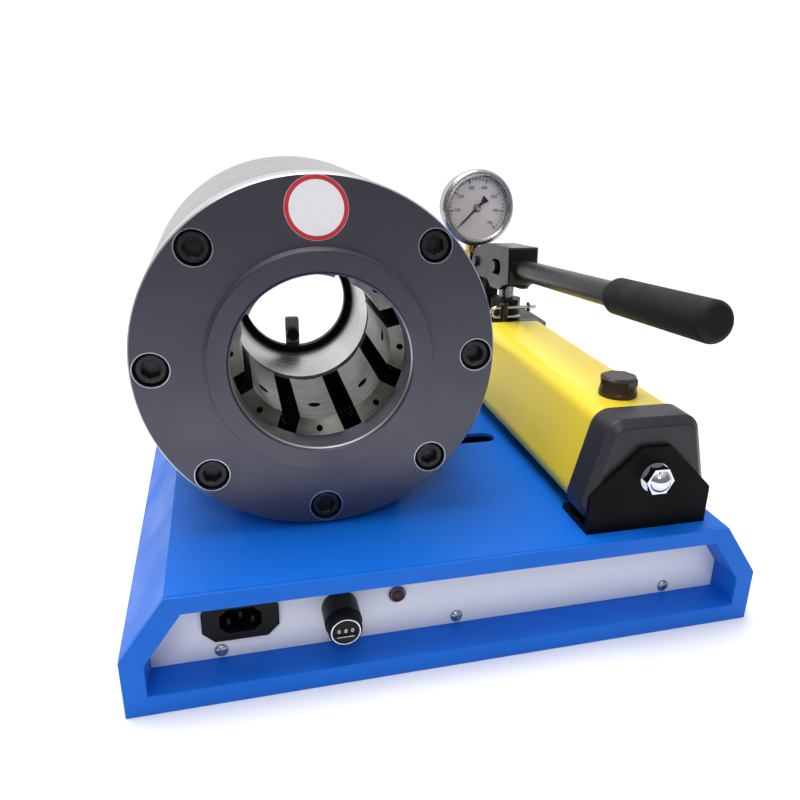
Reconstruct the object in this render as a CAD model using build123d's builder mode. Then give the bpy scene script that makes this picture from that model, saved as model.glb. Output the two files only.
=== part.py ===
"""Hand-pumped hose crimping machine: base, crimping head, pump, gauge and panel fittings.

Millimetres. X runs to the right, Y away from the operator, Z up. The origin is the
centre of the base's underside. Depths are measured back from the front of the base.
"""
import os
from math import atan2, cos, hypot, radians, sin, tan

from build123d import *

os.makedirs("parts", exist_ok=True)

# Clearances
FIT = 0.05
GAP = 0.3
SCREW_GAP = 0.15

# Base: a folded steel box with a flat rim at each end and a panel set back in each rim
base_depth = 400.0
base_height = 75.7
base_side_height = 38.2
base_slope = 26.9
sheet = 3.0
rim_side = 13.2
rim_bottom = 12.8
rim_top = 11.0
sleeve_wall = 2.0
panel_setback = 26.2
panel_thickness = 1.5
panel_edge_gap = 1.0
ledge_height = 16.0
panel_screw_rise = 5.5
panel_screw_margin = 53.5
panel_screw_mid_x = -2.6
screw_m4 = 4.0
screw_m4_head = 8.2
screw_m4_spare = 2.0
pan_head_height = 2.6
pan_head_taper = 18
slot_width = 18.5
slot_length = 88.0
slot_offset = 3.8
slot_before_wall = 5.0

# Crimping head: it stands on a saddle; radii run inward from the outside by wall widths
head_radius = 107.5
head_clear = 2.4
flange_front = 61.9
flange_thickness = 25.1
flange_edge = 1.0
boss_width = 15.0
boss_proud = 6.1
boss_bevel = 2.0
throat_step = 5.0
spigot_length = 23.0
flange_screw_inset = 11.9
flange_screw_angles = (0, 45, 135, 180, 225, 270, 315)
flange_screw_head = 18.0
flange_screw_shank = 12.0
flange_screw_length = 38.0
flange_screw_socket = 10.0
counterbore = 20.0
counterbore_deep = 13.5
tap_spare = 3.0
barrel_wall = 21.5
recess_wall = 15.5
recess_length = 40.0
rear_wall = 16.0
barrel_edge = 1.5

# Dies: drawn open, as they stand at rest; the stroke is what each one moves inward
die_count = 8
die_stroke = 14.0
die_gap_closed = 1.6
die_cone = 35.0
die_inset = 2.5
die_length = 85.5
die_land_gap = 6.0
die_ramp = 22.0
die_nose_rise = 11.2
die_nose = 5.4
die_pin_hole = 8.0
die_pin_setback = 31.5
die_pin_deep = 15.0
die_nose_hole = 4.0
die_nose_hole_deep = 12.0
cutter_start = 2.0
spring_bore = 10.0
spring_pocket = 8.0
spring_rise = 5.2
spring_wire = 1.6

# Piston: a ring with the matching cone and a tubular tail
piston_lap = 18.0
piston_length = 32.0
piston_rest_gap = 2.0
tail_step = 2.0
sleeve_step = 1.8
sleeve_taper = 4.2
tail_proud = 0.5
end_ring_length = 8.0
end_ring_wall = 5.1
end_ring_seat = 6.0
end_ring_edge = 1.0
seal_width = 6.0
seal_depth = 4.0
stop_x = -2.7
stop_width = 11.0
stop_thickness = 4.0
stop_corner = 2.0
stop_overlap = 1.0
stop_drop = 16.6
stop_screw_drop = 30.6
stop_screw = 6.0
stop_screw_head = 10.0
stop_screw_head_height = 5.0
clamp_screw = 5.0
clamp_screw_head = 9.0
clamp_screw_head_height = 3.0
stop_screw_spare = 6.0

# Saddle under the barrel
saddle_setback = 9.0
saddle_inset = 6.0
saddle_width = 110.0
saddle_height = 18.0
saddle_bolt = 12.0
saddle_bolt_dx = 32.0
saddle_bolt_dy = 48.0
saddle_bolt_head = 8.0
saddle_bolt_reach = 20.0
saddle_bolt_spare = 2.0

# Limit switch in the barrel's rear recess
switch_angle = 50
switch_clear = 5.0
switch_tall = 22.0
switch_wide = 28.0
switch_deep = 16.0
switch_hole = 3.2
switch_hole_pitch = 20.0
switch_button = 4.4
switch_button_in = 8.0

# Pump: the tank and its supports
tank_front = 33.0
tank_clear = 6.3
tank_height = 67.0
tank_bottom_half = 46.5
tank_top_half = 29.5
tank_wall = 2.5
tank_corner = 11.0
tank_flange = 10.0
cap_front = 16.7
cap_length = 26.3
cap_lip = 2.2
cap_bevel = 5.0
foot_front = 12.7
foot_thickness = 4.0
foot_width = 87.0
foot_shoulder_rise = 26.3
foot_rise = 58.2
foot_top_width = 21.0
foot_corner = 4.0
foot_return = 38.0
foot_bolt_edge = 9.0
tie_rod_rise = 37.8
tie_rod = 10.0
tie_rod_thread = 14.0
tie_rod_tip = 5.9
washer = 1.6
nut_across_flats = 17.0
nut_height = 7.0
nut_thread = 6.0
dome_height = 4.5
dome_collar = 1.0
filler_in = 71.0
filler_diameter = 27.0
filler_height = 14.0
filler_collar = 3.0
filler_step = 1.0
filler_edge = 0.8
filler_neck = 18.0
filler_neck_length = 9.0
filler_flutes = 8
filler_flute = 3.4
filler_flute_out = 1.2
strainer_x = 22.0
strainer_rise = 16.0
strainer_neck = 10.0
strainer_body = 18.0
strainer_neck_length = 22.0
strainer_length = 34.0
strainer_lap = 10.0
strainer_seat = 12.0

# Pump block and what stands on it
block_inset = 10.0
block_length = 114.0
block_half = 36.0
block_corner = 8.0
block_rise = 70.3
block_foot_half = 52.0
block_foot_height = 9.0
block_foot_corner = 6.0
block_blind = 15.0
pump_bolt = 8.0
pump_bolt_head = 13.0
pump_bolt_head_height = 5.5
pump_bolt_edge = 7.5
pump_bolt_spare = 6.0
pump_bolt_offsets = (20.0, 86.0)
plunger_offset = 24.0
plunger_rod = 14.0
plunger_sump = 40.0
plunger_spare = 12.0
plunger_tower = 28.0
tower_rise = 12.0
gland_height = 9.0
gland_across_flats = 26.0
fulcrum_offset = 76.0
fulcrum_rise = 46.6
fulcrum_pin_d = 10.0
fulcrum_pin_spare = 3.0
fulcrum_head_step = 2.5
fulcrum_post = 20.0
gauge_post = 20.0
gauge_post_corner = 3.0
gauge_post_offset = 102.0
gauge_post_rise = 42.0
gauge_thread = 12.0
gauge_thread_deep = 14.0
gauge_thread_length = 12.0
port_rise = 42.3
port_offset = 54.0

# Lever and handle, measured along the handle from the fulcrum
handle_pitch = 4.76
handle_up = 30.0
lever_width = 28.0
lever_slot = 15.0
lever_slot_end = 77.0
lever_web = 3.0
lever_roof = 6.0
lever_tail_radius = 13.5
lever_top = 19.5
lever_shoulder = 30.0
lever_front = 92.0
lever_chin = 12.0
lever_throat = 15.0
cheek_front = 68.0
cheek_back = 44.0
cheek_rise = 34.0
cheek_drop = 20.0
lever_edge = 1.5
lever_side_gap = 1.0
slot_play = 2.0
eye_radius = 10.0
plunger_pin_d = 10.0
plunger_pin_spare = 1.0
tube_diameter = 18.0
tube_wall = 2.5
tube_seat = 0.5
grip_diameter = 25.0
grip_start = 261.2
grip_length = 118.5
grip_end_wall = 5.0
grip_lip = 1.5
grip_lip_run = 2.0
grip_round = 5.0

# Release valve
valve_offset_x = 8.5
valve_offset = 5.0
valve_stem = 8.0
valve_rise = 17.0
valve_hole_deep = 18.0
valve_stem_deep = 16.0
valve_edge = 1.0
bar_diameter = 3.6
bar_rise = 3.6
bar_pitch = 9.2
bar_left_reach = 11.5
bar_high_reach = 31.5
bar_low_reach = 16.5
bar_disc_in = 6.0
bar_disc_step = 2.6
bar_disc = 1.6

# Pressure gauge
gauge_offset_x = 10.5
gauge_offset = 86.0
gauge_rise = 54.5
gauge_radius = 37.0
gauge_case_radius = 33.5
gauge_case_length = 24.0
gauge_case_lap = 3.0
gauge_case_bevel = 4.0
gauge_bezel_length = 9.0
gauge_bezel_round = 2.5
gauge_bezel_seat = 3.2
gauge_lip = 1.5
gauge_dial_radius = 31.0
gauge_dial_in = 7.0
gauge_dial_thickness = 1.0
gauge_dial_seat = 1.0
gauge_dial_step = 0.7
gauge_window = 30.0
gauge_glass_in = 3.5
gauge_glass = 1.2
gauge_stem = 14.0
gauge_stem_length = 7.0
gauge_stem_lap = 4.0
gauge_stem_gap = 3.0
adapter_across_flats = 17.0
adapter_height = 11.0
needle_zero = 225.0
needle_in = 5.6
needle_length = 24.0
needle_root = 2.2
needle_tip = 1.0
needle_tail = 13.0
needle_tail_neck = 7.0
needle_tail_width = 8.0
needle_tail_root = 2.4
needle_hub = 6.8
needle_arbor = 2.0
needle_arbor_gap = 0.2
needle_thickness = 0.8

# Hydraulic pipe from the block's side to the barrel's rear wall
pipe_diameter = 10.0
pipe_bend = 12.0
fitting_thread = 14.0
fitting_thread_length = 12.0
fitting_nut = 19.0
fitting_nut_length = 8.0
fitting_collar = 16.0
fitting_length = 16.0
port_deep = 15.0
block_port_deep = 14.0
port_reach = 30.0
port_drill = 6.0

# Panel fittings, measured from the base's left side and from the panel's middle
inlet_in = 66.0
inlet_rise = 0.75
inlet_width = 45.0
inlet_height = 26.6
inlet_corner = 7.0
inlet_flange = 3.0
inlet_socket_width = 24.4
inlet_socket_height = 16.4
inlet_socket_corner = 4.5
inlet_socket_deep = 17.0
inlet_body_wall = 2.3
inlet_body_gap = 0.2
inlet_body_deep = 24.0
inlet_pin_spots = ((-7, -2), (7, -2), (0, 2))
inlet_pin_width = 2.0
inlet_pin_height = 4.0
inlet_pin_short = 3.0
counter_in = 125.5
counter_drop = 1.25
counter_body = 22.5
counter_knob = 20.4
counter_face = 17.8
counter_body_front = 9.0
counter_front = 0.2
counter_shaft = 9.0
counter_shaft_length = 18.0
counter_nut = 15.0
counter_nut_thickness = 3.0
counter_ring_gap = 0.1
counter_ring_lap = 0.2
counter_ring_short = 1.0
counter_window = 13.0
counter_window_tall = 4.6
counter_window_deep = 0.8
lamp_in = 162.0
lamp_rise = 2.55
lamp_bezel = 11.0
lamp_edge = 0.8
lamp_hole = 8.0
lamp_proud = 2.4
lamp_length = 16.0
lamp_lens_deep = 8.0

# Power module on the floor of the base
module_in_x = 94.5
module_in = 95.0
module_width = 52.0
module_depth = 34.0
module_height = 26.0
module_ear_width = 74.0
module_ear_height = 3.0
module_ear_hole = 4.2
module_ear_pitch = 64.0
module_corner = 2.0

# Spacing across the base: its width follows from what stands on it
left_margin = 15.7
head_gap = 49.8
right_margin = 35.5
base_width = left_margin + 2 * head_radius + head_gap + 2 * tank_bottom_half + right_margin
base_left = -base_width / 2
head_x = base_left + left_margin + head_radius
pump_x = head_x + head_radius + head_gap + tank_bottom_half

# Heights that build up from the base's top
head_z = base_height + head_clear + head_radius
tank_bottom = base_height + tank_clear
tank_top = tank_bottom + tank_height
tie_rod_z = base_height + tie_rod_rise
foot_shoulder = base_height + foot_shoulder_rise
foot_top = base_height + foot_rise
block_top = base_height + block_rise
tower_top = block_top + tower_rise
fulcrum_z = block_top + fulcrum_rise
gauge_post_top = block_top + gauge_post_rise
gauge_z = gauge_post_top + gauge_rise
port_z = base_height + port_rise
valve_top = tank_top + valve_rise
bar_low_z = tank_top + bar_rise
bar_high_z = bar_low_z + bar_pitch
stop_top = head_z - stop_drop
stop_screw_z = head_z - stop_screw_drop
panel_mid_z = (rim_bottom + base_height - rim_top) / 2

# Radii of the head, from the outside inward
flange_screw_pcr = head_radius - flange_screw_inset
barrel_bore = head_radius - barrel_wall
recess_radius = head_radius - recess_wall
die_land_radius = barrel_bore - die_land_gap
die_end_radius = die_land_radius - die_ramp
die_face_radius = die_end_radius - die_nose_rise
throat_radius = die_end_radius - throat_step
boss_radius = throat_radius + boss_width
tail_radius = die_end_radius - tail_step
sleeve_front_radius = die_face_radius + sleeve_step
sleeve_back_radius = sleeve_front_radius - sleeve_taper
end_ring_bore = sleeve_back_radius - end_ring_wall
end_ring_radius = tail_radius - end_ring_seat
spring_radius = die_face_radius + spring_rise

# Depths of the head, from the flange's face back
flange_back = flange_front + flange_thickness
spigot_end = flange_back + spigot_length
die_front = flange_back - die_inset
die_back = die_front + die_length
piston_front = die_back - piston_lap
piston_back = piston_front + piston_length
rear_wall_front = piston_back + piston_rest_gap
rear_wall_back = rear_wall_front + rear_wall
barrel_back = rear_wall_back + recess_length
tail_end = barrel_back + tail_proud
end_ring_front = tail_end - end_ring_length
saddle_front = flange_back + saddle_setback
saddle_back = barrel_back - saddle_inset
slot_in = rear_wall_front - slot_before_wall
slot_x = head_x + head_radius + slot_offset

# Depths of the pump, from the back of the block forward
block_back = base_depth - block_inset
tank_back = block_back - block_length
cap_back = cap_front + cap_length
plunger_in = tank_back + plunger_offset
fulcrum_in = tank_back + fulcrum_offset
gauge_post_in = tank_back + gauge_post_offset
gauge_in = tank_back + gauge_offset
port_in = tank_back + port_offset
valve_in = tank_back + valve_offset
plunger_bottom = block_top - plunger_sump

# Places across the base
panel_screw_spread = base_width / 2 - panel_screw_margin
valve_x = pump_x - valve_offset_x
bar_left = valve_x - bar_left_reach
bar_high_right = valve_x + bar_high_reach
bar_low_right = valve_x + bar_low_reach
gauge_x = pump_x - gauge_offset_x
grip_end = grip_start + grip_length
inlet_x = base_left + inlet_in
inlet_z = panel_mid_z + inlet_rise
counter_x = base_left + counter_in
counter_z = panel_mid_z - counter_drop
lamp_x = base_left + lamp_in
lamp_z = panel_mid_z + lamp_rise
module_x = base_left + module_in_x


def deep(depth_in):
    """Return the Y of a depth measured back from the front of the base."""
    return depth_in - base_depth / 2


def section(depth_in):
    """Return the upright plane at a depth, facing the operator."""
    return Plane.XZ.offset(-deep(depth_in))


def save(part, name):
    """Label one finished piece and write it."""
    part.label = name
    export_step(part, f"parts/{name}.step")


def base_outline(side, bottom, top):
    """Return the corners of the base's end profile, set in by a width at each side."""
    run = base_slope
    rise = base_height - base_side_height
    slant = hypot(run, rise)
    x_side = base_width / 2 - side
    z_bend = base_side_height - side * (slant - rise) / run
    z_top = base_height - top
    x_top = base_width / 2 - (run * (z_top - base_side_height) + side * slant) / rise
    right = [(x_side, bottom), (x_side, z_bend), (x_top, z_top)]
    left = [(-x, z) for x, z in reversed(right)]
    return right + left


def trapezium(bottom_half, top_half, bottom, top):
    """Return the corners of the tank's profile about the pump's centre line."""
    return [(-bottom_half, bottom), (bottom_half, bottom), (top_half, top), (-top_half, top)]


def tank_corners(grow):
    """Return the tank's profile grown by a width on every side."""
    lean = atan2(tank_bottom_half - tank_top_half, tank_top - tank_bottom)
    taper = tan(lean)
    out = grow / cos(lean)
    return trapezium(
        tank_bottom_half + out + grow * taper,
        tank_top_half + out - grow * taper,
        tank_bottom - grow,
        tank_top + grow,
    )


# Base shell: the folded wrap, a ledge for each panel, and the holes in its top
rim_outer = base_outline(0, 0, 0)
rim_opening = base_outline(rim_side, rim_bottom, rim_top)
shell_inside = base_outline(sheet, sheet, sheet)
panel_inset = sheet + panel_edge_gap
panel_fit = base_outline(panel_inset, panel_inset, panel_inset)
panel_back = panel_setback + panel_thickness
rear_panel_front = base_depth - panel_back
rear_panel_back = base_depth - panel_setback
panel_screw_z = rim_bottom + panel_screw_rise
panel_screw_spots = [(x, panel_screw_z) for x in (-panel_screw_spread, panel_screw_mid_x, panel_screw_spread)]
saddle_mid = deep((saddle_front + saddle_back) / 2)
pump_bolt_spots = [
    (pump_x + side * (block_foot_half - pump_bolt_edge), deep(tank_back + offset))
    for side in (-1, 1) for offset in pump_bolt_offsets
]
foot_bolt_y = deep(foot_front + foot_return - foot_bolt_edge)
foot_bolt_spots = [(pump_x + side * (foot_width / 2 - foot_bolt_edge), foot_bolt_y) for side in (-1, 1)]

with BuildPart() as base_shell:
    with BuildSketch(section(sheet)):
        with BuildLine():
            Polyline(*rim_outer, close=True)
        make_face()
        with BuildLine():
            Polyline(*shell_inside, close=True)
        make_face(mode=Mode.SUBTRACT)
    extrude(amount=-(base_depth - 2 * sheet))
    ledge_width = base_width - 2 * panel_inset
    for near in (panel_back, rear_panel_front - sheet):
        with BuildSketch(section(near)):
            with Locations((0, sheet + ledge_height / 2)):
                Rectangle(ledge_width, ledge_height)
        extrude(amount=-sheet)
        with BuildSketch(section(near)):
            with Locations(*panel_screw_spots):
                Circle(screw_m4 / 2 + SCREW_GAP)
        extrude(amount=-sheet, mode=Mode.SUBTRACT)
    with BuildSketch(Plane.XY.offset(base_height)):
        with Locations((slot_x, deep(slot_in))):
            SlotOverall(slot_length, slot_width)
        with Locations((head_x, saddle_mid)):
            with GridLocations(2 * saddle_bolt_dx, 2 * saddle_bolt_dy, 2, 2):
                Circle(saddle_bolt / 2 + SCREW_GAP)
        with Locations(*(pump_bolt_spots + foot_bolt_spots)):
            Circle(pump_bolt / 2 + SCREW_GAP)
    extrude(amount=-sheet, mode=Mode.SUBTRACT)
save(base_shell.part, "base_shell")


sleeve_outer = base_outline(rim_side - sleeve_wall, rim_bottom - sleeve_wall, rim_top - sleeve_wall)


def bezel(outer_depth, inner_depth, end_depth):
    """Return one end frame: a flat rim and the sleeve that runs in to the panel."""
    with BuildPart() as frame:
        with BuildSketch(section(min(outer_depth, inner_depth))):
            with BuildLine():
                Polyline(*rim_outer, close=True)
            make_face()
            with BuildLine():
                Polyline(*rim_opening, close=True)
            make_face(mode=Mode.SUBTRACT)
        extrude(amount=-sheet)
        with BuildSketch(section(min(inner_depth, end_depth))):
            with BuildLine():
                Polyline(*sleeve_outer, close=True)
            make_face()
            with BuildLine():
                Polyline(*rim_opening, close=True)
            make_face(mode=Mode.SUBTRACT)
        extrude(amount=-abs(end_depth - inner_depth))
    return frame.part


save(bezel(0, sheet, panel_setback), "front_bezel")
save(bezel(base_depth, base_depth - sheet, rear_panel_back), "rear_bezel")

# Panels
with BuildPart() as front_panel:
    with BuildSketch(section(panel_setback)):
        with BuildLine():
            Polyline(*panel_fit, close=True)
        make_face()
        with Locations((inlet_x, inlet_z)):
            hole_grow = 2 * (inlet_body_wall + inlet_body_gap)
            Rectangle(inlet_socket_width + hole_grow, inlet_socket_height + hole_grow, mode=Mode.SUBTRACT)
        with Locations((counter_x, counter_z)):
            Circle(counter_shaft / 2 + SCREW_GAP, mode=Mode.SUBTRACT)
        with Locations((lamp_x, lamp_z)):
            Circle(lamp_hole / 2 + SCREW_GAP, mode=Mode.SUBTRACT)
        with Locations(*panel_screw_spots):
            Circle(screw_m4 / 2 + SCREW_GAP, mode=Mode.SUBTRACT)
    extrude(amount=-panel_thickness)
save(front_panel.part, "front_panel")

with BuildPart() as rear_panel:
    with BuildSketch(section(rear_panel_front)):
        with BuildLine():
            Polyline(*panel_fit, close=True)
        make_face()
        with Locations(*panel_screw_spots):
            Circle(screw_m4 / 2 + SCREW_GAP, mode=Mode.SUBTRACT)
    extrude(amount=-panel_thickness)
save(rear_panel.part, "rear_panel")

with BuildPart() as panel_screws:
    for face, outward in ((panel_setback, 1), (rear_panel_back, -1)):
        with BuildSketch(section(face)):
            with Locations(*panel_screw_spots):
                Circle(screw_m4_head / 2)
        extrude(amount=outward * pan_head_height, taper=pan_head_taper)
        with BuildSketch(section(face)):
            with Locations(*panel_screw_spots):
                Circle(screw_m4 / 2)
        extrude(amount=-outward * (panel_thickness + sheet + screw_m4_spare))
save(panel_screws.part, "panel_screws")

# Crimping head
head_axis = Axis((head_x, 0, head_z), (0, 1, 0))
head_plane = Plane((head_x, 0, head_z))
cone = tan(radians(die_cone))
seat_gap = GAP / cos(radians(die_cone))


def turned(points):
    """Return the head-plane corners for radius and depth pairs."""
    return [(radius, deep(depth_in)) for radius, depth_in in points]


def front_seat(depth_in):
    """Return the radius of the flange's conical seat at a depth."""
    return die_end_radius + (depth_in - die_front) * cone + seat_gap


def rear_seat(depth_in):
    """Return the radius of the piston's conical seat at a depth."""
    return die_end_radius + (die_back - depth_in) * cone + seat_gap


throat_end = die_front - (die_end_radius + seat_gap - throat_radius) / cone
boss_front = flange_front - boss_proud

with BuildPart() as front_flange:
    with BuildSketch(head_plane):
        with BuildLine():
            Polyline(*turned([
                (throat_radius + boss_bevel, boss_front),
                (boss_radius - boss_bevel, boss_front),
                (boss_radius, flange_front),
                (head_radius - flange_edge, flange_front),
                (head_radius, flange_front + flange_edge),
                (head_radius, flange_back),
                (barrel_bore - FIT, flange_back),
                (barrel_bore - FIT, spigot_end),
                (front_seat(spigot_end), spigot_end),
                (throat_radius, throat_end),
                (throat_radius, boss_front + boss_bevel),
            ]), close=True)
        make_face()
    revolve(axis=head_axis)
    for angle in flange_screw_angles:
        spot = Plane(
            (head_x + flange_screw_pcr * cos(radians(angle)), deep(flange_front),
             head_z + flange_screw_pcr * sin(radians(angle))),
            x_dir=(1, 0, 0), z_dir=(0, -1, 0))
        with Locations(spot):
            CounterBoreHole(flange_screw_shank / 2 + SCREW_GAP, counterbore / 2, counterbore_deep)
save(front_flange.part, "front_flange")

with BuildPart() as flange_screws:
    head_seat = flange_front + counterbore_deep
    screw_spots = [
        (head_x + flange_screw_pcr * cos(radians(a)), head_z + flange_screw_pcr * sin(radians(a)))
        for a in flange_screw_angles
    ]
    with BuildSketch(section(head_seat)):
        with Locations(*screw_spots):
            Circle(flange_screw_head / 2)
    extrude(amount=flange_screw_shank)
    with BuildSketch(section(head_seat)):
        with Locations(*screw_spots):
            Circle(flange_screw_shank / 2)
    extrude(amount=-flange_screw_length)
    with BuildSketch(section(head_seat - flange_screw_shank)):
        with Locations(*screw_spots):
            RegularPolygon(flange_screw_socket / 2, 6, major_radius=False)
    extrude(amount=-flange_screw_shank / 2, mode=Mode.SUBTRACT)
save(flange_screws.part, "flange_screws")

barrel_port_in = (rear_wall_front + rear_wall_back) / 2
barrel_side = head_x + head_radius
barrel_port = Plane((barrel_side, deep(barrel_port_in), head_z), x_dir=(0, 1, 0), z_dir=(1, 0, 0))

with BuildPart() as head_barrel:
    with BuildSketch(head_plane):
        with BuildLine():
            Polyline(*turned([
                (barrel_bore, flange_back),
                (head_radius, flange_back),
                (head_radius, barrel_back - barrel_edge),
                (head_radius - barrel_edge, barrel_back),
                (recess_radius, barrel_back),
                (recess_radius, rear_wall_back),
                (tail_radius + FIT, rear_wall_back),
                (tail_radius + FIT, rear_wall_front),
                (barrel_bore, rear_wall_front),
            ]), close=True)
        make_face()
    revolve(axis=head_axis)
    with BuildSketch(section(flange_back)):
        with Locations(*screw_spots):
            Circle(flange_screw_shank / 2 + SCREW_GAP)
    extrude(amount=-(flange_screw_length - (flange_back - head_seat) + tap_spare), mode=Mode.SUBTRACT)
    with BuildSketch(barrel_port):
        Circle(fitting_thread / 2 + SCREW_GAP)
    extrude(amount=-port_deep, mode=Mode.SUBTRACT)
    with BuildSketch(barrel_port):
        Circle(port_drill / 2)
    extrude(amount=-port_reach, mode=Mode.SUBTRACT)
    with BuildSketch(section(rear_wall_front)):
        with Locations((barrel_side - port_reach + port_drill / 2, head_z)):
            Circle(port_drill / 2)
    extrude(amount=-(barrel_port_in - rear_wall_front), mode=Mode.SUBTRACT)
    with BuildSketch(Plane.XY.offset(base_height)):
        with Locations((head_x, saddle_mid)):
            with GridLocations(2 * saddle_bolt_dx, 2 * saddle_bolt_dy, 2, 2):
                Circle(saddle_bolt / 2 + SCREW_GAP)
    extrude(amount=saddle_bolt_reach + saddle_bolt_spare, mode=Mode.SUBTRACT)
save(head_barrel.part, "head_barrel")

# Saddle: a machined pad with a hollow top that the barrel lies in
with BuildPart() as head_saddle:
    with BuildSketch(section(saddle_front)):
        with Locations((head_x, base_height + saddle_height / 2)):
            Rectangle(saddle_width, saddle_height)
        with Locations((head_x, head_z)):
            Circle(head_radius + FIT, mode=Mode.SUBTRACT)
    extrude(amount=-(saddle_back - saddle_front))
    with BuildSketch(Plane.XY.offset(base_height)):
        with Locations((head_x, saddle_mid)):
            with GridLocations(2 * saddle_bolt_dx, 2 * saddle_bolt_dy, 2, 2):
                Circle(saddle_bolt / 2 + SCREW_GAP)
    extrude(amount=saddle_height, mode=Mode.SUBTRACT)
save(head_saddle.part, "head_saddle")

with BuildPart() as saddle_bolts:
    under = base_height - sheet
    for reach, size in ((-saddle_bolt_head, saddle_bolt * 1.5), (sheet + saddle_bolt_reach, saddle_bolt)):
        with BuildSketch(Plane.XY.offset(under)):
            with Locations((head_x, saddle_mid)):
                with GridLocations(2 * saddle_bolt_dx, 2 * saddle_bolt_dy, 2, 2):
                    Circle(size / 2)
        extrude(amount=reach)
save(saddle_bolts.part, "saddle_bolts")

# Dies: a ring drawn closed, cut into wedges, each moved out along its cone
land_front = die_front + (die_land_radius - die_end_radius) / cone
land_back = die_back - (die_land_radius - die_end_radius) / cone
die_half_angle = 180 / die_count
spring_depth = (die_front + die_back) / 2
for index in range(die_count):
    angle = 270 + index * 360 / die_count
    out = Vector(cos(radians(angle)), 0, sin(radians(angle)))
    centre = Vector(head_x, 0, head_z) + out * die_stroke
    start = radians(angle + die_half_angle)
    end = radians(angle - die_half_angle)
    start_side = Vector(-sin(start), 0, cos(start))
    end_side = Vector(-sin(end), 0, cos(end))
    with BuildPart() as die:
        with BuildSketch(Plane(centre, x_dir=(cos(start), 0, sin(start)), z_dir=start_side)):
            with BuildLine():
                Polyline(*[(radius - die_stroke, y) for radius, y in turned([
                    (die_face_radius, die_front + die_nose),
                    (die_end_radius, die_front),
                    (die_land_radius, land_front),
                    (die_land_radius, land_back),
                    (die_end_radius, die_back),
                    (die_face_radius, die_back),
                ])], close=True)
            make_face()
        revolve(axis=Axis(centre, (0, 1, 0)), revolution_arc=2 * die_half_angle)
        split(bisect_by=Plane(centre - start_side * (die_gap_closed / 2), z_dir=start_side), keep=Keep.BOTTOM)
        split(bisect_by=Plane(centre + end_side * (die_gap_closed / 2), z_dir=end_side), keep=Keep.TOP)
        face_point = centre + out * (die_face_radius - die_stroke - cutter_start)
        with BuildSketch(Plane(face_point + Vector(0, deep(die_front + die_pin_setback), 0), z_dir=out)):
            Circle(die_pin_hole / 2)
        extrude(amount=cutter_start + die_pin_deep, mode=Mode.SUBTRACT)
        nose_mid = (die_face_radius + die_end_radius) / 2 - die_stroke
        nose_point = centre + out * nose_mid + Vector(0, deep(die_front), 0)
        with BuildSketch(Plane(nose_point, z_dir=(0, -1, 0))):
            Circle(die_nose_hole / 2)
        extrude(amount=-die_nose_hole_deep, mode=Mode.SUBTRACT)
        for side, turn, sign in ((start_side, start, -1), (end_side, end, 1)):
            pocket = centre + Vector(cos(turn), 0, sin(turn)) * spring_radius
            pocket += side * (sign * die_gap_closed / 2) + Vector(0, deep(spring_depth), 0)
            with BuildSketch(Plane(pocket, z_dir=side * sign)):
                Circle(spring_bore / 2)
            extrude(amount=spring_pocket, mode=Mode.SUBTRACT)
    save(die.part, f"die_{index + 1}")

# Springs between neighbouring dies
spread = die_stroke * sin(radians(die_half_angle))
spring_length = die_gap_closed + 2 * spread + 2 * spring_pocket - 2 * GAP
spring_reach = spring_radius + die_stroke * cos(radians(die_half_angle))
spring_outer = spring_bore / 2 - GAP
with BuildPart() as die_springs:
    for index in range(die_count):
        turn = radians(270 + (index + 0.5) * 360 / die_count)
        along = Vector(-sin(turn), 0, cos(turn))
        middle = Vector(head_x, deep(spring_depth), head_z) + Vector(cos(turn), 0, sin(turn)) * spring_reach
        with BuildSketch(Plane(middle - along * (spring_length / 2), z_dir=along)):
            Circle(spring_outer)
            Circle(spring_outer - spring_wire, mode=Mode.SUBTRACT)
        extrude(amount=spring_length)
save(die_springs.part, "die_springs")

# Piston with its seal, end ring and hose stop
cone_end = die_back + (die_end_radius + seat_gap - sleeve_front_radius) / cone
seal_front = (piston_front + piston_back) / 2
piston_radius = barrel_bore - FIT
with BuildPart() as piston:
    with BuildSketch(head_plane):
        with BuildLine():
            Polyline(*turned([
                (rear_seat(piston_front), piston_front),
                (piston_radius, piston_front),
                (piston_radius, seal_front),
                (piston_radius - seal_depth, seal_front),
                (piston_radius - seal_depth, seal_front + seal_width),
                (piston_radius, seal_front + seal_width),
                (piston_radius, piston_back),
                (tail_radius, piston_back),
                (tail_radius, tail_end),
                (end_ring_radius + FIT, tail_end),
                (end_ring_radius + FIT, end_ring_front),
                (sleeve_back_radius, end_ring_front),
                (sleeve_front_radius, cone_end),
            ]), close=True)
        make_face()
    revolve(axis=head_axis)
save(piston.part, "piston")

with BuildPart() as piston_seal:
    with BuildSketch(head_plane):
        with BuildLine():
            Polyline(*turned([
                (piston_radius - seal_depth + FIT, seal_front + FIT),
                (piston_radius, seal_front + FIT),
                (piston_radius, seal_front + seal_width - FIT),
                (piston_radius - seal_depth + FIT, seal_front + seal_width - FIT),
            ]), close=True)
        make_face()
    revolve(axis=head_axis)
save(piston_seal.part, "piston_seal")

clamp_screw_z = head_z - (end_ring_bore + end_ring_radius) / 2
with BuildPart() as end_ring:
    with BuildSketch(head_plane):
        with BuildLine():
            Polyline(*turned([
                (end_ring_bore + end_ring_edge, end_ring_front),
                (end_ring_radius, end_ring_front),
                (end_ring_radius, tail_end),
                (end_ring_bore + end_ring_edge, tail_end),
                (end_ring_bore, tail_end - end_ring_edge),
                (end_ring_bore, end_ring_front + end_ring_edge),
            ]), close=True)
        make_face()
    revolve(axis=head_axis)
    with BuildSketch(section(end_ring_front)):
        with Locations((head_x + stop_x, clamp_screw_z)):
            Circle(clamp_screw / 2 + SCREW_GAP)
    extrude(amount=-(tail_end - end_ring_front), mode=Mode.SUBTRACT)
save(end_ring.part, "end_ring")

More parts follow.
